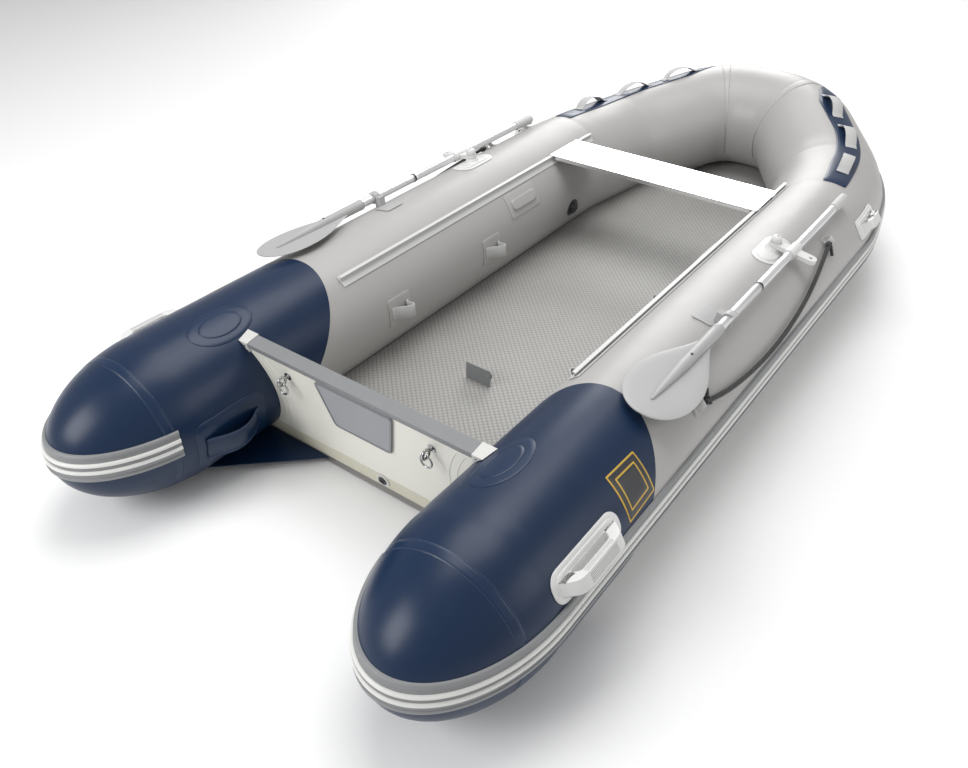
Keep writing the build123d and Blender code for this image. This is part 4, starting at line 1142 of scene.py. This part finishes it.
# ---------------------------------------------------------------- oars
@dataclass
class Oars:
    """Two oars on their rowlocks and clips; places along an oar are places along the boat."""

    pad_y: float = 0.110
    lean: float = 10.4
    shaft_height: float = 0.026
    shaft_out: float = 0.060
    shaft: float = 0.014
    tip: float = -0.900
    neck: float = -0.536
    sleeve: float = -0.446
    joint: float = -0.166
    grip: float = 0.490
    end: float = 0.604
    blade_width: float = 0.190
    neck_half: float = 0.021
    widest: float = 0.62         # where the blade is widest, from its neck at 0 to its tip at 1
    button: float = -0.625

    def frame(self, side: int) -> Place:
        """Returns an oar's frame: x along the boat, y inboard, z up out of the tube."""
        base = Place.on_tube(HULL.run_of(self.pad_y), 90 - self.lean, side)
        inboard = base.y * side
        origin = base.origin - inboard * self.shaft_out + base.z * self.shaft_height
        return Place(origin * [1, 0, 1], np.array([0.0, 1.0, 0.0]), inboard, base.z)

    def along(self, side: int) -> Place:
        """Returns the frame whose z runs along the oar."""
        own = self.frame(side)
        return Place(own.origin, own.y, own.z, own.x)

    def rod(self, name: str, profile: Sequence, finish: Finish, side: int,
            sides: int = 40) -> bpy.types.Object:
        """Turns a profile of (radius, place along the boat)."""
        return lathe(name, self.along(side), profile, finish, sides)

    def half_width(self, share: np.ndarray) -> np.ndarray:
        """Returns the blade's half width, from the neck at 0 to the tip at 1."""
        swell = np.sin(np.clip(share / self.widest, 0, 1) * np.pi / 2) ** 1.25
        shoulder = self.neck_half + (self.blade_width / 2 - self.neck_half) * swell
        past = np.clip((share - self.widest) / (1 - self.widest), 0, 1)
        return shoulder * np.sqrt(np.clip(1 - past ** 2.4, 0, 1))

    def blade(self, label: str, side: int) -> None:
        """Builds the spoon blade with its sleeve, ridge and two beads."""
        shares = np.sin(np.linspace(0, np.pi / 2, 60)) ** 1.15
        lanes = np.sin(np.linspace(-np.pi / 2, np.pi / 2, 25))
        half = self.half_width(shares)
        half[-1] = 0.004
        y = self.neck + (self.tip - self.neck) * shares
        rim = 1 - np.abs(lanes) ** 8
        top = -0.0035 + 0.0022 * rim[None] * np.ones((60, 1)) - 0.0012 * (lanes[None] ** 2) * (shares[:,
                                                                                                      None])
        low = top - 0.0014 - 0.0024 * rim[None]
        rows = []
        for i in range(60):
            upper = np.stack([np.full(25, y[i]), half[i] * lanes, top[i]], 1)
            lower = np.stack([np.full(25, y[i]), half[i] * lanes, low[i]], 1)[::-1]
            rows.append(np.concatenate([upper, lower]))
        count = 50
        faces = grid_faces(60, count, True) + end_caps(60, count)
        sheet = recalculated(piece("sheet", self.frame(side).world(np.concatenate(rows)), faces, BLADE), 1e-6)
        sleeve = self.rod("sleeve", [
            (0.0142, self.sleeve), (0.0172, self.sleeve), (0.018, self.sleeve - 0.0012),
            (0.018, self.sleeve - 0.014),
            (0.0172, self.sleeve - 0.016), (0.0174, self.sleeve - 0.04), (0.0168, -0.60), (0.0166, -0.660),
            (0.0155, -0.685), (0.0118, -0.745), (0.0078, -0.80), (0.0045, -0.835), (0.0, -0.842)], BLADE,
            side)
        rib = [self.flute(side, offset) for offset in (-0.034, 0.034)]
        put(joined(f"blade_{label}", [sheet, sleeve, *rib]), f"oar_{label}", Slot.BLADE, f"oar_blade_{label}")

    def flute(self, side: int, offset: float) -> bpy.types.Object:
        """Makes a low stiffening bead beside the ridge."""
        share = np.linspace(0, 1, 24)
        line = np.stack([-0.615 - 0.21 * share, offset * (1 + 0.5 * share), np.full(24, -0.0025)], 1)
        line[:, 2] -= 0.001 + 0.0008 * share
        path = self.frame(side).world(line)
        return swept("bead", path, 0.0024, BLADE, 10)

    def shafts(self, label: str, side: int) -> None:
        """Builds the two shaft halves, the joint's ring, the grip and the button."""
        body, r = f"oar_{label}", self.shaft
        loom = self.rod(f"loom_{label}", [
            (r - 0.0015, self.joint + 0.0006), (r - 0.0003, self.joint + 0.0006), (r, self.joint + 0.001),
            (r, self.joint + 0.02), (r, self.grip + 0.01), (r, self.end - 0.014), (0.0, self.end - 0.014)],
            SHAFT, side)
        put(loom, body, Slot.ALUMINIUM, f"oar_loom_{label}")
        shaft = self.rod(f"shaft_{label}", [
            (0.0, self.neck - 0.1), (r, self.neck - 0.1), (r, self.joint - 0.001),
            (r - 0.0003, self.joint - 0.0006),
            (r - 0.0015, self.joint - 0.0006)], SHAFT, side)
        put(shaft, body, Slot.ALUMINIUM, f"oar_shaft_{label}")
        ring = self.rod(f"joint_ring_{label}", [
            (r + 0.0001, self.joint - 0.004), (r + 0.0011, self.joint - 0.0036), (r + 0.0014, self.joint),
            (r + 0.0011, self.joint + 0.0036), (r + 0.0001, self.joint + 0.004)], DARK, side)
        put(ring, body, Slot.DARK)
        profile = [(r + 0.0002, self.grip), (0.0165, self.grip), (0.0178, self.grip + 0.0015),
                   (0.0178, self.grip + 0.007),
                   (0.0162, self.grip + 0.010)]
        stop = self.grip + 0.014
        while stop < self.end - 0.020:
            profile += [(0.0165, stop), (0.0171, stop + 0.0016), (0.0171, stop + 0.0048),
                        (0.0165, stop + 0.0064)]
            stop += 0.0086
        profile += [(0.0170, self.end - 0.012), (0.0165, self.end - 0.005), (0.0135, self.end - 0.001),
                    (0.0, self.end)]
        put(self.rod(f"grip_{label}", profile, GRIP, side), body, Slot.GRIP, f"oar_grip_{label}")
        own = self.frame(side)
        peg = Place(own.world(np.array([self.button, 0.0, 0.0])), own.x, own.y, own.z)
        pin = lathe(f"snap_button_{label}", peg,
                    [(0.0, 0.0085), (0.004, 0.0085), (0.004, 0.0172), (0.0036, 0.0184),
                                                  (0.0024, 0.019), (0.0, 0.0191)], DARK, 24)
        put(pin, f"button_{label}", Slot.DARK, f"oar_button_{label}")
        rounded(f"collar_{label}", f"oar_collar_{label}", MOULDED, 0.0022, body, Slot.MOULDED, 3)

    def rowlock(self, label: str, side: int) -> None:
        """Builds the glued base, its boss, the pin and the screwed knob."""
        run, angle = HULL.run_of(self.pad_y), 90 - self.lean
        skirt = wrap("skirt", run, angle, rounded_box(0.190, 0.092, 0.0458, 10), 0.0018, MOULDED, side)
        base = wrap("base", run, angle, rounded_box(0.158, 0.066, 0.0325, 10), 0.0045, MOULDED, side)
        place = Place.on_tube(run, angle, side)
        boss = lathe("boss", place, [(0.031, 0.003), (0.027, 0.0055), (0.0245, 0.009), (0.023, 0.0155),
                                     (0.022, 0.017),
                                     (0.0, 0.017)], MOULDED)
        put(joined(f"rowlock_base_{label}", [skirt, base, boss]), "hull", Slot.MOULDED,
            *once(side, "rowlock_pads"))
        pin = lathe(f"rowlock_pin_{label}", place,
                    [(0.0, 0.017), (0.006, 0.017), (0.006, 0.044), (0.0, 0.044)],
                    STEEL, 24)
        put(pin, "hull", Slot.STEEL, *once(side, "rowlock_pins"))
        knob = lathe("knob", place, [
            (0.006, 0.0322), (0.0155, 0.0322), (0.017, 0.0336), (0.0172, 0.040), (0.0166, 0.0445),
            (0.014, 0.0492),
            (0.010, 0.0520), (0.0048, 0.0533), (0.0044, 0.0526), (0.0040, 0.0480), (0.0, 0.0476)], MOULDED)
        fins = []
        for k in range(3):
            turn = math.radians(120 * k + 20)
            x = place.x * math.cos(turn) + place.y * math.sin(turn)
            own = Place(place.origin, x, np.cross(place.z, x), place.z)
            line = own.world(np.array([[0.012 + 0.0052 * t, 0.0, 0.0365 + 0.0105 * (1 - t)]
                                       for t in np.linspace(0, 1, 5)]))
            fins.append(swept("fin", line, 0.0032, MOULDED, 10))
        put(joined(f"rowlock_knob_{label}", [knob, *fins]), "hull", Slot.MOULDED,
            *once(side, "rowlock_knobs"))

    def build(self) -> None:
        """Builds both oars and what holds them."""
        for label, side in SIDES.items():
            self.blade(label, side)
            self.shafts(label, side)
            self.rowlock(label, side)
        rounded("clips", "oar_clips", BLADE, 0.0016, "hull", Slot.BLADE)


# ---------------------------------------------------------------- fittings on the tubes
@dataclass
class Handles:
    """Moulded carry handles on the stern ends, and the tow eyes at the bow's shoulders."""

    handle_y: float = -1.271
    handle_angle: float = 29.0
    handle_lean: float = 0.28     # how far the bar leans outboard, for its height
    eye_y: float = 0.690
    eye_angle: float = 33.0
    dots: Rows = field(default_factory=lambda: Rows(TRIM))

    def arch(self, name: str, place: Place, outer: Sequence, inner: Sequence, half: float, round_by: float,
             lean: float = 0.0) -> bpy.types.Object:
        """Makes a bridge: an (x, z) outline with a hole, given a width, a lean and rounded edges."""
        a, b = rounded_polygon(outer, 0.014), rounded_polygon(inner, 0.009)
        turn = np.linspace(0, 1, 96, endpoint=False)
        loops = []
        for line, width in ((a, half), (b, half), (b, -half), (a, -half)):
            ring = np.vstack([line, line[:1]])
            span = travelled(ring)
            even = np.stack([np.interp(turn * span[-1], span, ring[:, k]) for k in range(2)], 1)
            loops.append(np.column_stack([even[:, 0], width + lean * even[:, 1], even[:, 1]]))
        rows = np.concatenate([*loops, loops[0]])
        made = recalculated(piece(name, place.world(rows), grid_faces(5, 96, True), MOULDED))
        bevel = made.modifiers.new("rounding", "BEVEL")
        bevel.width, bevel.segments, bevel.limit_method, bevel.angle_limit = round_by, 4, "ANGLE", math.radians(50)
        return baked(made)

    def handle(self, label: str, side: int) -> None:
        """Builds one carry handle with its dotted grip."""
        run = HULL.run_of(self.handle_y)
        place = Place.on_tube(run, self.handle_angle, side)
        foot = wrap("foot", run, self.handle_angle, rounded_box(0.272, 0.080, 0.036, 10), 0.0025, MOULDED,
                    side)
        step = wrap("step", run, self.handle_angle, rounded_box(0.246, 0.056, 0.027, 10), 0.0055, MOULDED,
                    side)
        outer = [(-0.120, -0.002), (-0.112, 0.012), (-0.086, 0.040), (-0.06, 0.043), (0.06, 0.043),
                 (0.086, 0.040),
                 (0.112, 0.012), (0.120, -0.002)]
        inner = [(-0.074, 0.006), (-0.072, 0.012), (-0.058, 0.0275), (0.058, 0.0275), (0.072, 0.012),
                 (0.074, 0.006)]
        lean = -side * self.handle_lean
        bridge = self.arch("bridge", place, outer, inner, 0.0175, 0.006, lean)
        put(joined(f"carry_handle_{label}", [foot, step, bridge]), "hull", Slot.MOULDED,
            *once(side, "carry_handles"))
        points, out, way = [], [], []
        for x in np.arange(-0.054, 0.0541, 0.0036):
            for k, y in enumerate((-0.0105, -0.0063, -0.0021, 0.0021, 0.0063, 0.0105)):
                points.append(place.world(np.array([x + 0.0018 * (k % 2), y + lean * 0.0431, 0.0431])))
                out.append(place.z)
                way.append(place.x)
            for y in (-0.0176, 0.0176):
                for z in (0.0315, 0.0352, 0.0389):
                    points.append(place.world(np.array([x, y + lean * z, z])))
                    out.append(place.y * np.sign(y))
                    way.append(place.x)
        put(self.dots.spread(f"handle_dots_{label}", points, out, way, 0.0021, 0.0021, 0.0012), "hull",
            Slot.MOULDED)

    def tow_eye(self, label: str, side: int) -> None:
        """Builds one moulded tow eye: a foot, two lugs and a bridge with its hole."""
        run = HULL.run_of(self.eye_y)
        place = Place.on_tube(run, self.eye_angle, side)
        foot = wrap("foot", run, self.eye_angle, rounded_box(0.180, 0.074, 0.02, 8), 0.003, MOULDED, side)
        step = wrap("step", run, self.eye_angle, rounded_box(0.158, 0.054, 0.014, 8), 0.0055, MOULDED, side)
        outer = [(-0.072, -0.002), (-0.064, 0.010), (-0.042, 0.040), (0.042, 0.040), (0.064, 0.010),
                 (0.072, -0.002)]
        hole = [(0.0113 * math.cos(a), 0.022 + 0.0113 * math.sin(a)) for a in circle(12)]
        bridge = self.arch("bridge", place, outer, hole, 0.016, 0.004)
        put(joined(f"tow_eye_{label}", [foot, step, bridge]), "hull", Slot.RAIL, *once(side, "tow_eyes"))

    def build(self) -> None:
        """Builds both sides."""
        for label, side in SIDES.items():
            self.handle(label, side)
            self.tow_eye(label, side)


@dataclass
class Webbing:
    """Bow loops on their navy patch, inner lugs, rope eyes, and the stitches in the loops and lugs."""

    stitches: Rows = field(default_factory=lambda: Rows(THREAD))
    pitch: float = 0.0042
    loop_places: tuple = ((0, 0.50), (1, 0.16), (1, 0.62))   # length of the bow, and share of it
    patch_run: float = 2.565
    patch_angle: float = 79.0
    patch_outline: tuple = ((-0.435, -0.034), (-0.26, -0.045), (-0.06, -0.050), (0.14, -0.060),
                            (0.30, -0.072),
                            (0.385, -0.080), (0.435, -0.040), (0.405, 0.014), (0.32, 0.044), (0.09, 0.042),
                            (-0.235, 0.054), (-0.435, 0.052))
    lugs_y: tuple = (-0.630, -0.112)
    rope_eyes: tuple = ((0.365, 49.5), (-0.684, 40.2))
    points: list = field(default_factory=list)

    def seam(self, place: Place, x: float, half: float, height: float) -> None:
        """Adds a row of stitches across a strap."""
        count = max(2, int(2 * half / self.pitch))
        for share in (np.arange(count) + 0.5) / count:
            self.points.append((place.world([x, half * (2 * share - 1), height]), place.z, place.y))

    def loop_run(self, length: int, share: float) -> float:
        """Returns the run of a share of one slanting length of the bow."""
        spot = np.array(HULL.corners[length]) * (1 - share) + np.array(HULL.corners[length + 1]) * share
        return float(HULL.runs[np.argmin(np.linalg.norm(HULL.points - spot, axis=1))])

    def bow(self, label: str, side: int) -> list:
        """Builds the navy patch and its three loops."""
        patch = wrap(f"bow_patch_{label}", self.patch_run, self.patch_angle,
                     rounded_polygon(self.patch_outline, 0.012, 6), 0.0014, NAVY_TAPE, side, rings=9)
        put(patch, "hull", Slot.NAVY, *once(side, "bow_patches"))
        loops = []
        for number, (length, share) in enumerate(self.loop_places):
            place = Place.on_tube(self.loop_run(length, share), self.patch_angle, side, 0.0018)
            sway = (0.004, -0.003, 0.002)[number]
            line = eased([(-0.088, 0.0010), (-0.070, 0.0014), (-0.056, 0.014 + sway), (-0.026, 0.030 + sway),
                          (0.018, 0.032), (0.048, 0.021), (0.068, 0.0014), (0.088, 0.0010)], 9)
            loops.append(strap("loop", place, line, 0.046, 0.0024))
            for x in (-0.085, -0.076, 0.076, 0.085):
                self.seam(place, x, 0.019, 0.0024)
        return loops

    def lug(self, y: float, side: int) -> list:
        """Builds an inner lug: a doubler and a folded tab with a triangular gap."""
        run = HULL.run_of(y)
        patch = wrap("doubler", run, 177, rounded_box(0.104, 0.104, 0.010), 0.0014, GREY_TAPE, side)
        place = Place.on_tube(run, 177, side, 0.0018)
        line = eased([(-0.040, 0.001), (-0.024, 0.003), (-0.010, 0.018), (0.008, 0.036), (0.024, 0.043),
                      (0.031, 0.036),
                      (0.029, 0.018), (0.026, 0.004), (0.040, 0.001)], 8)
        tab = strap("tab", place, line, 0.044, 0.0032)
        for x in (-0.037, -0.030, 0.034, 0.039):
            self.seam(place, x, 0.018, 0.0028)
        return [patch, tab]

    def rope_eye(self, y: float, angle: float, side: int) -> list:
        """Builds a webbing eye on its doubler."""
        run = HULL.run_of(y)
        patch = wrap("doubler", run, angle, rounded_box(0.058, 0.046, 0.008), 0.0014, GREY_TAPE, side)
        place = Place.on_tube(run, angle, side, 0.0016)
        line = eased([(-0.026, 0.001), (-0.017, 0.002), (-0.013, 0.014), (0.0, 0.0225), (0.013, 0.014),
                      (0.017, 0.002),
                      (0.026, 0.001)], 8)
        return [patch, strap("eye", place, line, 0.022, 0.0022)]

    def build(self) -> None:
        """Builds all webbing and its stitches."""
        loops, lugs, eyes = [], [], []
        for label, side in SIDES.items():
            loops += self.bow(label, side)
            for y in self.lugs_y:
                lugs += self.lug(y, side)
            for y, angle in self.rope_eyes:
                eyes += self.rope_eye(y, angle, side)
        put(joined("bow_loops", loops), "hull", Slot.WEBBING, "bow_straps")
        put(joined("inner_lugs", lugs), "hull", Slot.WEBBING, "strap_lugs")
        put(joined("rope_eye_loops", eyes), "hull", Slot.GREY, "rope_eyes")
        points, out, way = (np.array(part) for part in zip(*self.points))
        made = self.stitches.spread("webbing_stitches", points, out, way, 0.0032, 0.0011, 0.0009)
        put(made, "hull", Slot.WEBBING)


@dataclass
class SmallFittings:
    """Valves, holders, the soft handles at the stern and a plain badge."""

    valve_y: float = 0.459
    valve_angle: float = 190.0
    badge_y: float = -1.038
    strap_y: float = -1.345
    strap_angle: float = 190.0
    strap_half: float = 0.080
    strap_rise: float = 0.0345
    strap_width: float = 0.076
    badge_angle: float = 37.5
    badge_layers: tuple = (1.0, 0.93, 0.70, 0.63)       # gold, dark, gold, dark

    def hull_valve(self, label: str, side: int) -> None:
        """Builds a valve's flange, rim and cap."""
        run = HULL.run_of(self.valve_y)
        place = Place.on_tube(run, self.valve_angle, side)
        flange = wrap("flange", run, self.valve_angle, ellipse(0.072, 0.072), 0.0018, DARK, side)
        rim = lathe("rim", place, [(0.024, 0.0012), (0.024, 0.006), (0.0232, 0.0072), (0.0198, 0.0072),
                                   (0.0191, 0.0064),
                                   (0.0191, 0.004)], DARK)
        put(joined(f"valve_body_{label}", [flange, rim]), "hull", Slot.DARK, *once(side, "hull_valves"))
        cap = f"valve_cap_{label}"
        rounded(f"valve_lid_{label}", cap, DARK, 0.001, cap, Slot.DARK)

    def holder(self, label: str, side: int) -> None:
        """Builds the oblong holder on its doubler."""
        run = HULL.run_of(0.130)
        doubler = wrap("doubler", run, 149, rounded_box(0.190, 0.096, 0.012), 0.0012, GREY_TAPE, side)
        body = wrap("holder", run, 149, rounded_box(0.150, 0.040, 0.014), 0.0085, GREY_TAPE, side)
        put(joined(f"inner_holder_{label}", [doubler, body]), "hull", Slot.GREY,
            *once(side, "inner_pads"))

    def stern_handle(self, label: str, side: int) -> None:
        """Builds the wide soft handle that bridges its doubler on the inner side of a stern end."""
        run, angle = HULL.run_of(self.strap_y), self.strap_angle
        doubler = wrap("doubler", run, angle, rounded_box(0.236, 0.176, 0.030), 0.0014, NAVY_TAPE, side,
                       rings=7)
        place = Place.on_tube(run, angle, side)
        half, rise = self.strap_half, self.strap_rise
        line = eased([(-half - 0.012, 0.0022), (-half, 0.0026), (-0.60 * half, 0.55 * rise),
                      (-0.15 * half, 0.93 * rise),
                      (0.35 * half, 0.90 * rise), (0.78 * half, 0.50 * rise), (half, 0.0026),
                      (half + 0.012, 0.0022)], 9)
        bridge = strap("bridge", place, line, self.strap_width, 0.0030, NAVY_TAPE)
        # The two beads along the strap's edges are in the lighter navy: a painted highlight.
        beads = []
        for y in (-0.45 * self.strap_width, 0.45 * self.strap_width):
            shifted = Place(place.world(np.array([0.0, y, 0.0])), place.x, place.y, place.z)
            beads.append(strap("bead", shifted, line + [0.0, 0.0012], 0.003, 0.0016, NAVY_EDGE_HIGHLIGHT))
        put(joined(f"stern_handle_{label}", [doubler, bridge, *beads]), "hull", Slot.NAVY,
            *once(side, "stern_handles"))

    def badge(self, label: str, side: int) -> None:
        """Builds a plain plate with two gold lines."""
        corners = np.array([(-0.062, -0.066), (0.062, -0.057), (0.060, 0.057), (-0.062, 0.062)])
        layers = []
        for number, share in enumerate(self.badge_layers):
            outline = rounded_polygon(corners * share, 0.003)
            layers.append(wrap("layer", HULL.run_of(self.badge_y), self.badge_angle, outline,
                               0.0005 + 0.0002 * number, (GOLD, DARK)[number % 2], side, rings=5))
        put(joined(f"badge_{label}", layers), "hull", Slot.DARK)

    def build(self) -> None:
        """Builds the fittings of both sides."""
        for label, side in SIDES.items():
            self.hull_valve(label, side)
            self.holder(label, side)
            self.stern_handle(label, side)
            self.badge(label, side)


@dataclass
class Lifelines:
    """Braided lifelines that sag along the outer sides, tied at both ends."""

    radius: float = 0.007
    off: float = 0.012
    route: tuple = ((0.329, 47.0), (0.258, 43.0), (0.163, 37.2), (0.055, 31.4), (-0.062, 27.2),
                    (-0.185, 24.8),
                    (-0.310, 24.9), (-0.430, 27.2), (-0.530, 30.8), (-0.600, 34.6), (-0.648, 38.0))
    plaits: int = 6
    pitch: float = 0.050
    yarn: float = 0.0022
    cover: float = 0.0026        # thickness of the plaited cover
    swing: float = 0.0007        # how far a yarn passes over and under the others
    length: float = 0.985

    def control(self, side: int) -> np.ndarray:
        """Returns the route's points."""
        return np.array([sided(HULL.surface(HULL.run_of(y), angle, self.off), side) for y,
                         angle in self.route])

    def line(self, side: int) -> np.ndarray:
        """Returns points read from the route's smooth line."""
        curve = bpy.data.curves.new("route", "CURVE")
        curve.dimensions = "3D"
        curve.resolution_u = 24
        spline = curve.splines.new("NURBS")
        points = self.control(side)
        spline.points.add(len(points) - 1)
        for point, place in zip(spline.points, points):
            point.co = (*place, 1.0)
        spline.order_u = 3
        spline.use_endpoint_u = True
        holder = linked("route", curve)
        graph = bpy.context.evaluated_depsgraph_get()
        graph.update()
        mesh = bpy.data.meshes.new_from_object(holder.evaluated_get(graph))
        found = np.array([v.co for v in mesh.vertices], float)
        bpy.data.objects.remove(holder)
        return found

    def braid(self, name: str, path: np.ndarray) -> bpy.types.Object:
        """Plaits yarns round a core along a path."""
        run = travelled(path)
        even = np.arange(0, run[-1], 0.0022)
        line = np.stack([np.interp(even, run, path[:, k]) for k in range(3)], 1)
        way = np.gradient(line, axis=0)
        way /= np.linalg.norm(way, axis=1)[:, None]
        side = np.cross(way, [0.0, 0.0, 1.0])
        side /= np.linalg.norm(side, axis=1)[:, None]
        up = np.cross(way, side)
        parts = [swept("core", line, self.radius - self.cover, ROPE, 10)]
        mean = self.radius - self.yarn
        turn = 2 * np.pi * even / self.pitch
        for hand in (1, -1):
            for k in range(self.plaits):
                angle = hand * turn + 2 * np.pi * k / self.plaits
                reach = mean + hand * self.swing * np.cos(self.plaits * turn)
                yarn = line + reach[:, None] * (np.cos(angle)[:, None] * side + np.sin(angle)[:, None] * up)
                parts.append(swept("yarn", yarn, self.yarn, ROPE, 6))
        return joined(name, parts)

    def knot(self, end: np.ndarray, way: np.ndarray, out: np.ndarray) -> list:
        """Ties an overhand knot with a short tail at a rope's end."""
        t = np.linspace(0, 2 * np.pi, 90)
        shape = np.stack([np.sin(t) + 2 * np.sin(2 * t), np.cos(t) - 2 * np.cos(2 * t), -np.sin(3 * t)], 1)
        shape = shape * [0.0036, 0.0032, 0.0046]
        across = np.cross(way, out)
        centre = end - way * 0.007
        path = centre + shape[:, :1] * way + shape[:, 1:2] * across + shape[:, 2:] * out
        tail = np.array([centre + way * (0.003 * k) - across * (0.006 + 0.0034 * k) + out * (0.003 - 0.0009 * k)
                         for k in range(8)])
        return [swept("knot", path, 0.0056, ROPE, 12), swept("tail", tail, 0.0054, ROPE, 12)]

    def build(self) -> None:
        """Builds both ropes and their knots."""
        for label, side in SIDES.items():
            path = self.line(side)
            rope = self.braid(f"lifeline_rope_{label}", path)
            put(rope, "hull", Slot.ROPE, f"lifeline_{label}")
            knots = []
            for end, inner, (y, angle) in ((path[0], path[6], self.route[0]),
                                           (path[-1], path[-7], self.route[-1])):
                way = (inner - end) / np.linalg.norm(inner - end)
                knots += self.knot(end, way, HULL.normal(HULL.run_of(y), angle) * [side, 1, 1])
            tied = joined(f"rope_knots_{label}", knots)
            put(tied, "hull", Slot.ROPE, *once(side, "lifeline_knots"))
            length = float(np.linalg.norm(np.diff(path, axis=0), axis=1).sum())
            log.info("lifeline %s: %.3f m", label, length)


# ---------------------------------------------------------------- studio
@dataclass
class Studio:
    """Pale floor, soft light and the camera."""

    camera_at: tuple = (1.338, -2.447, 1.752)
    yaw: float = 36.37
    pitch: float = -36.65
    lens: float = 32.46
    sensor: float = 36.0
    floor_half: float = 12.0

    def light(self, name: str, at: Sequence, size: float, energy: float,
              target: Sequence = (0, 0, 0.2)) -> None:
        """Adds a square soft light that faces a point."""
        data = bpy.data.lights.new(name, "AREA")
        data.size, data.energy = size, energy
        lamp = linked(name, data)
        lamp.location = at
        lamp.rotation_euler = (Vector(target) - Vector(at)).to_track_quat("-Z", "Y").to_euler()

    def build(self) -> None:
        """Builds the studio."""
        scene = bpy.context.scene
        half = self.floor_half
        floor = piece("studio_floor", [(-half, -half, 0), (half, -half, 0), (half, half, 0),
                                       (-half, half, 0)],
                      [(0, 1, 2, 3)], Finish("pale floor", (0.93, 0.93, 0.93), 0.75, 0.005, 0.5),
                      smooth=False)
        floor.data.transform(Matrix.Translation((0, 0, -0.0005)))
        world = bpy.data.worlds.new("studio")
        world.use_nodes = True
        back = world.node_tree.nodes["Background"]
        back.inputs["Color"].default_value = (1.0, 1.0, 1.0, 1.0)
        back.inputs["Strength"].default_value = 0.46
        scene.world = world
        self.light("overhead", (-0.4, 0.4, 4.4), 3.2, 115.0)
        self.light("aft", (-1.6, -4.6, 2.9), 2.4, 120.0, (0, -0.8, 0.2))
        self.light("ahead", (-2.4, 5.6, 2.8), 3.4, 170.0, (0, 0.4, 0.4))
        self.light("starboard", (4.8, 1.0, 2.4), 2.6, 40.0)
        data = bpy.data.cameras.new("camera")
        data.lens, data.sensor_width, data.sensor_fit = self.lens, self.sensor, "HORIZONTAL"
        data.clip_start, data.clip_end = 0.05, 100.0
        camera = linked("camera", data)
        camera.location = self.camera_at
        camera.rotation_euler = (math.radians(90 + self.pitch), 0.0, math.radians(self.yaw))
        scene.camera = camera
        scene.view_settings.view_transform = "Standard"


def main() -> None:
    """Builds the boat round the CAD frame, one sub-assembly after another."""
    logging.basicConfig(level=logging.INFO, format="%(name)s: %(message)s")
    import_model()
    Studio().build()
    for part in (Lifelines(), Tubes(), RubStrake(), Floor(), Transom(), Seat(), Oars(), Handles(), Webbing(),
                 SmallFittings()):
        log.info("building %s", type(part).__name__)
        part.build()


if __name__ == "__main__":
    main()
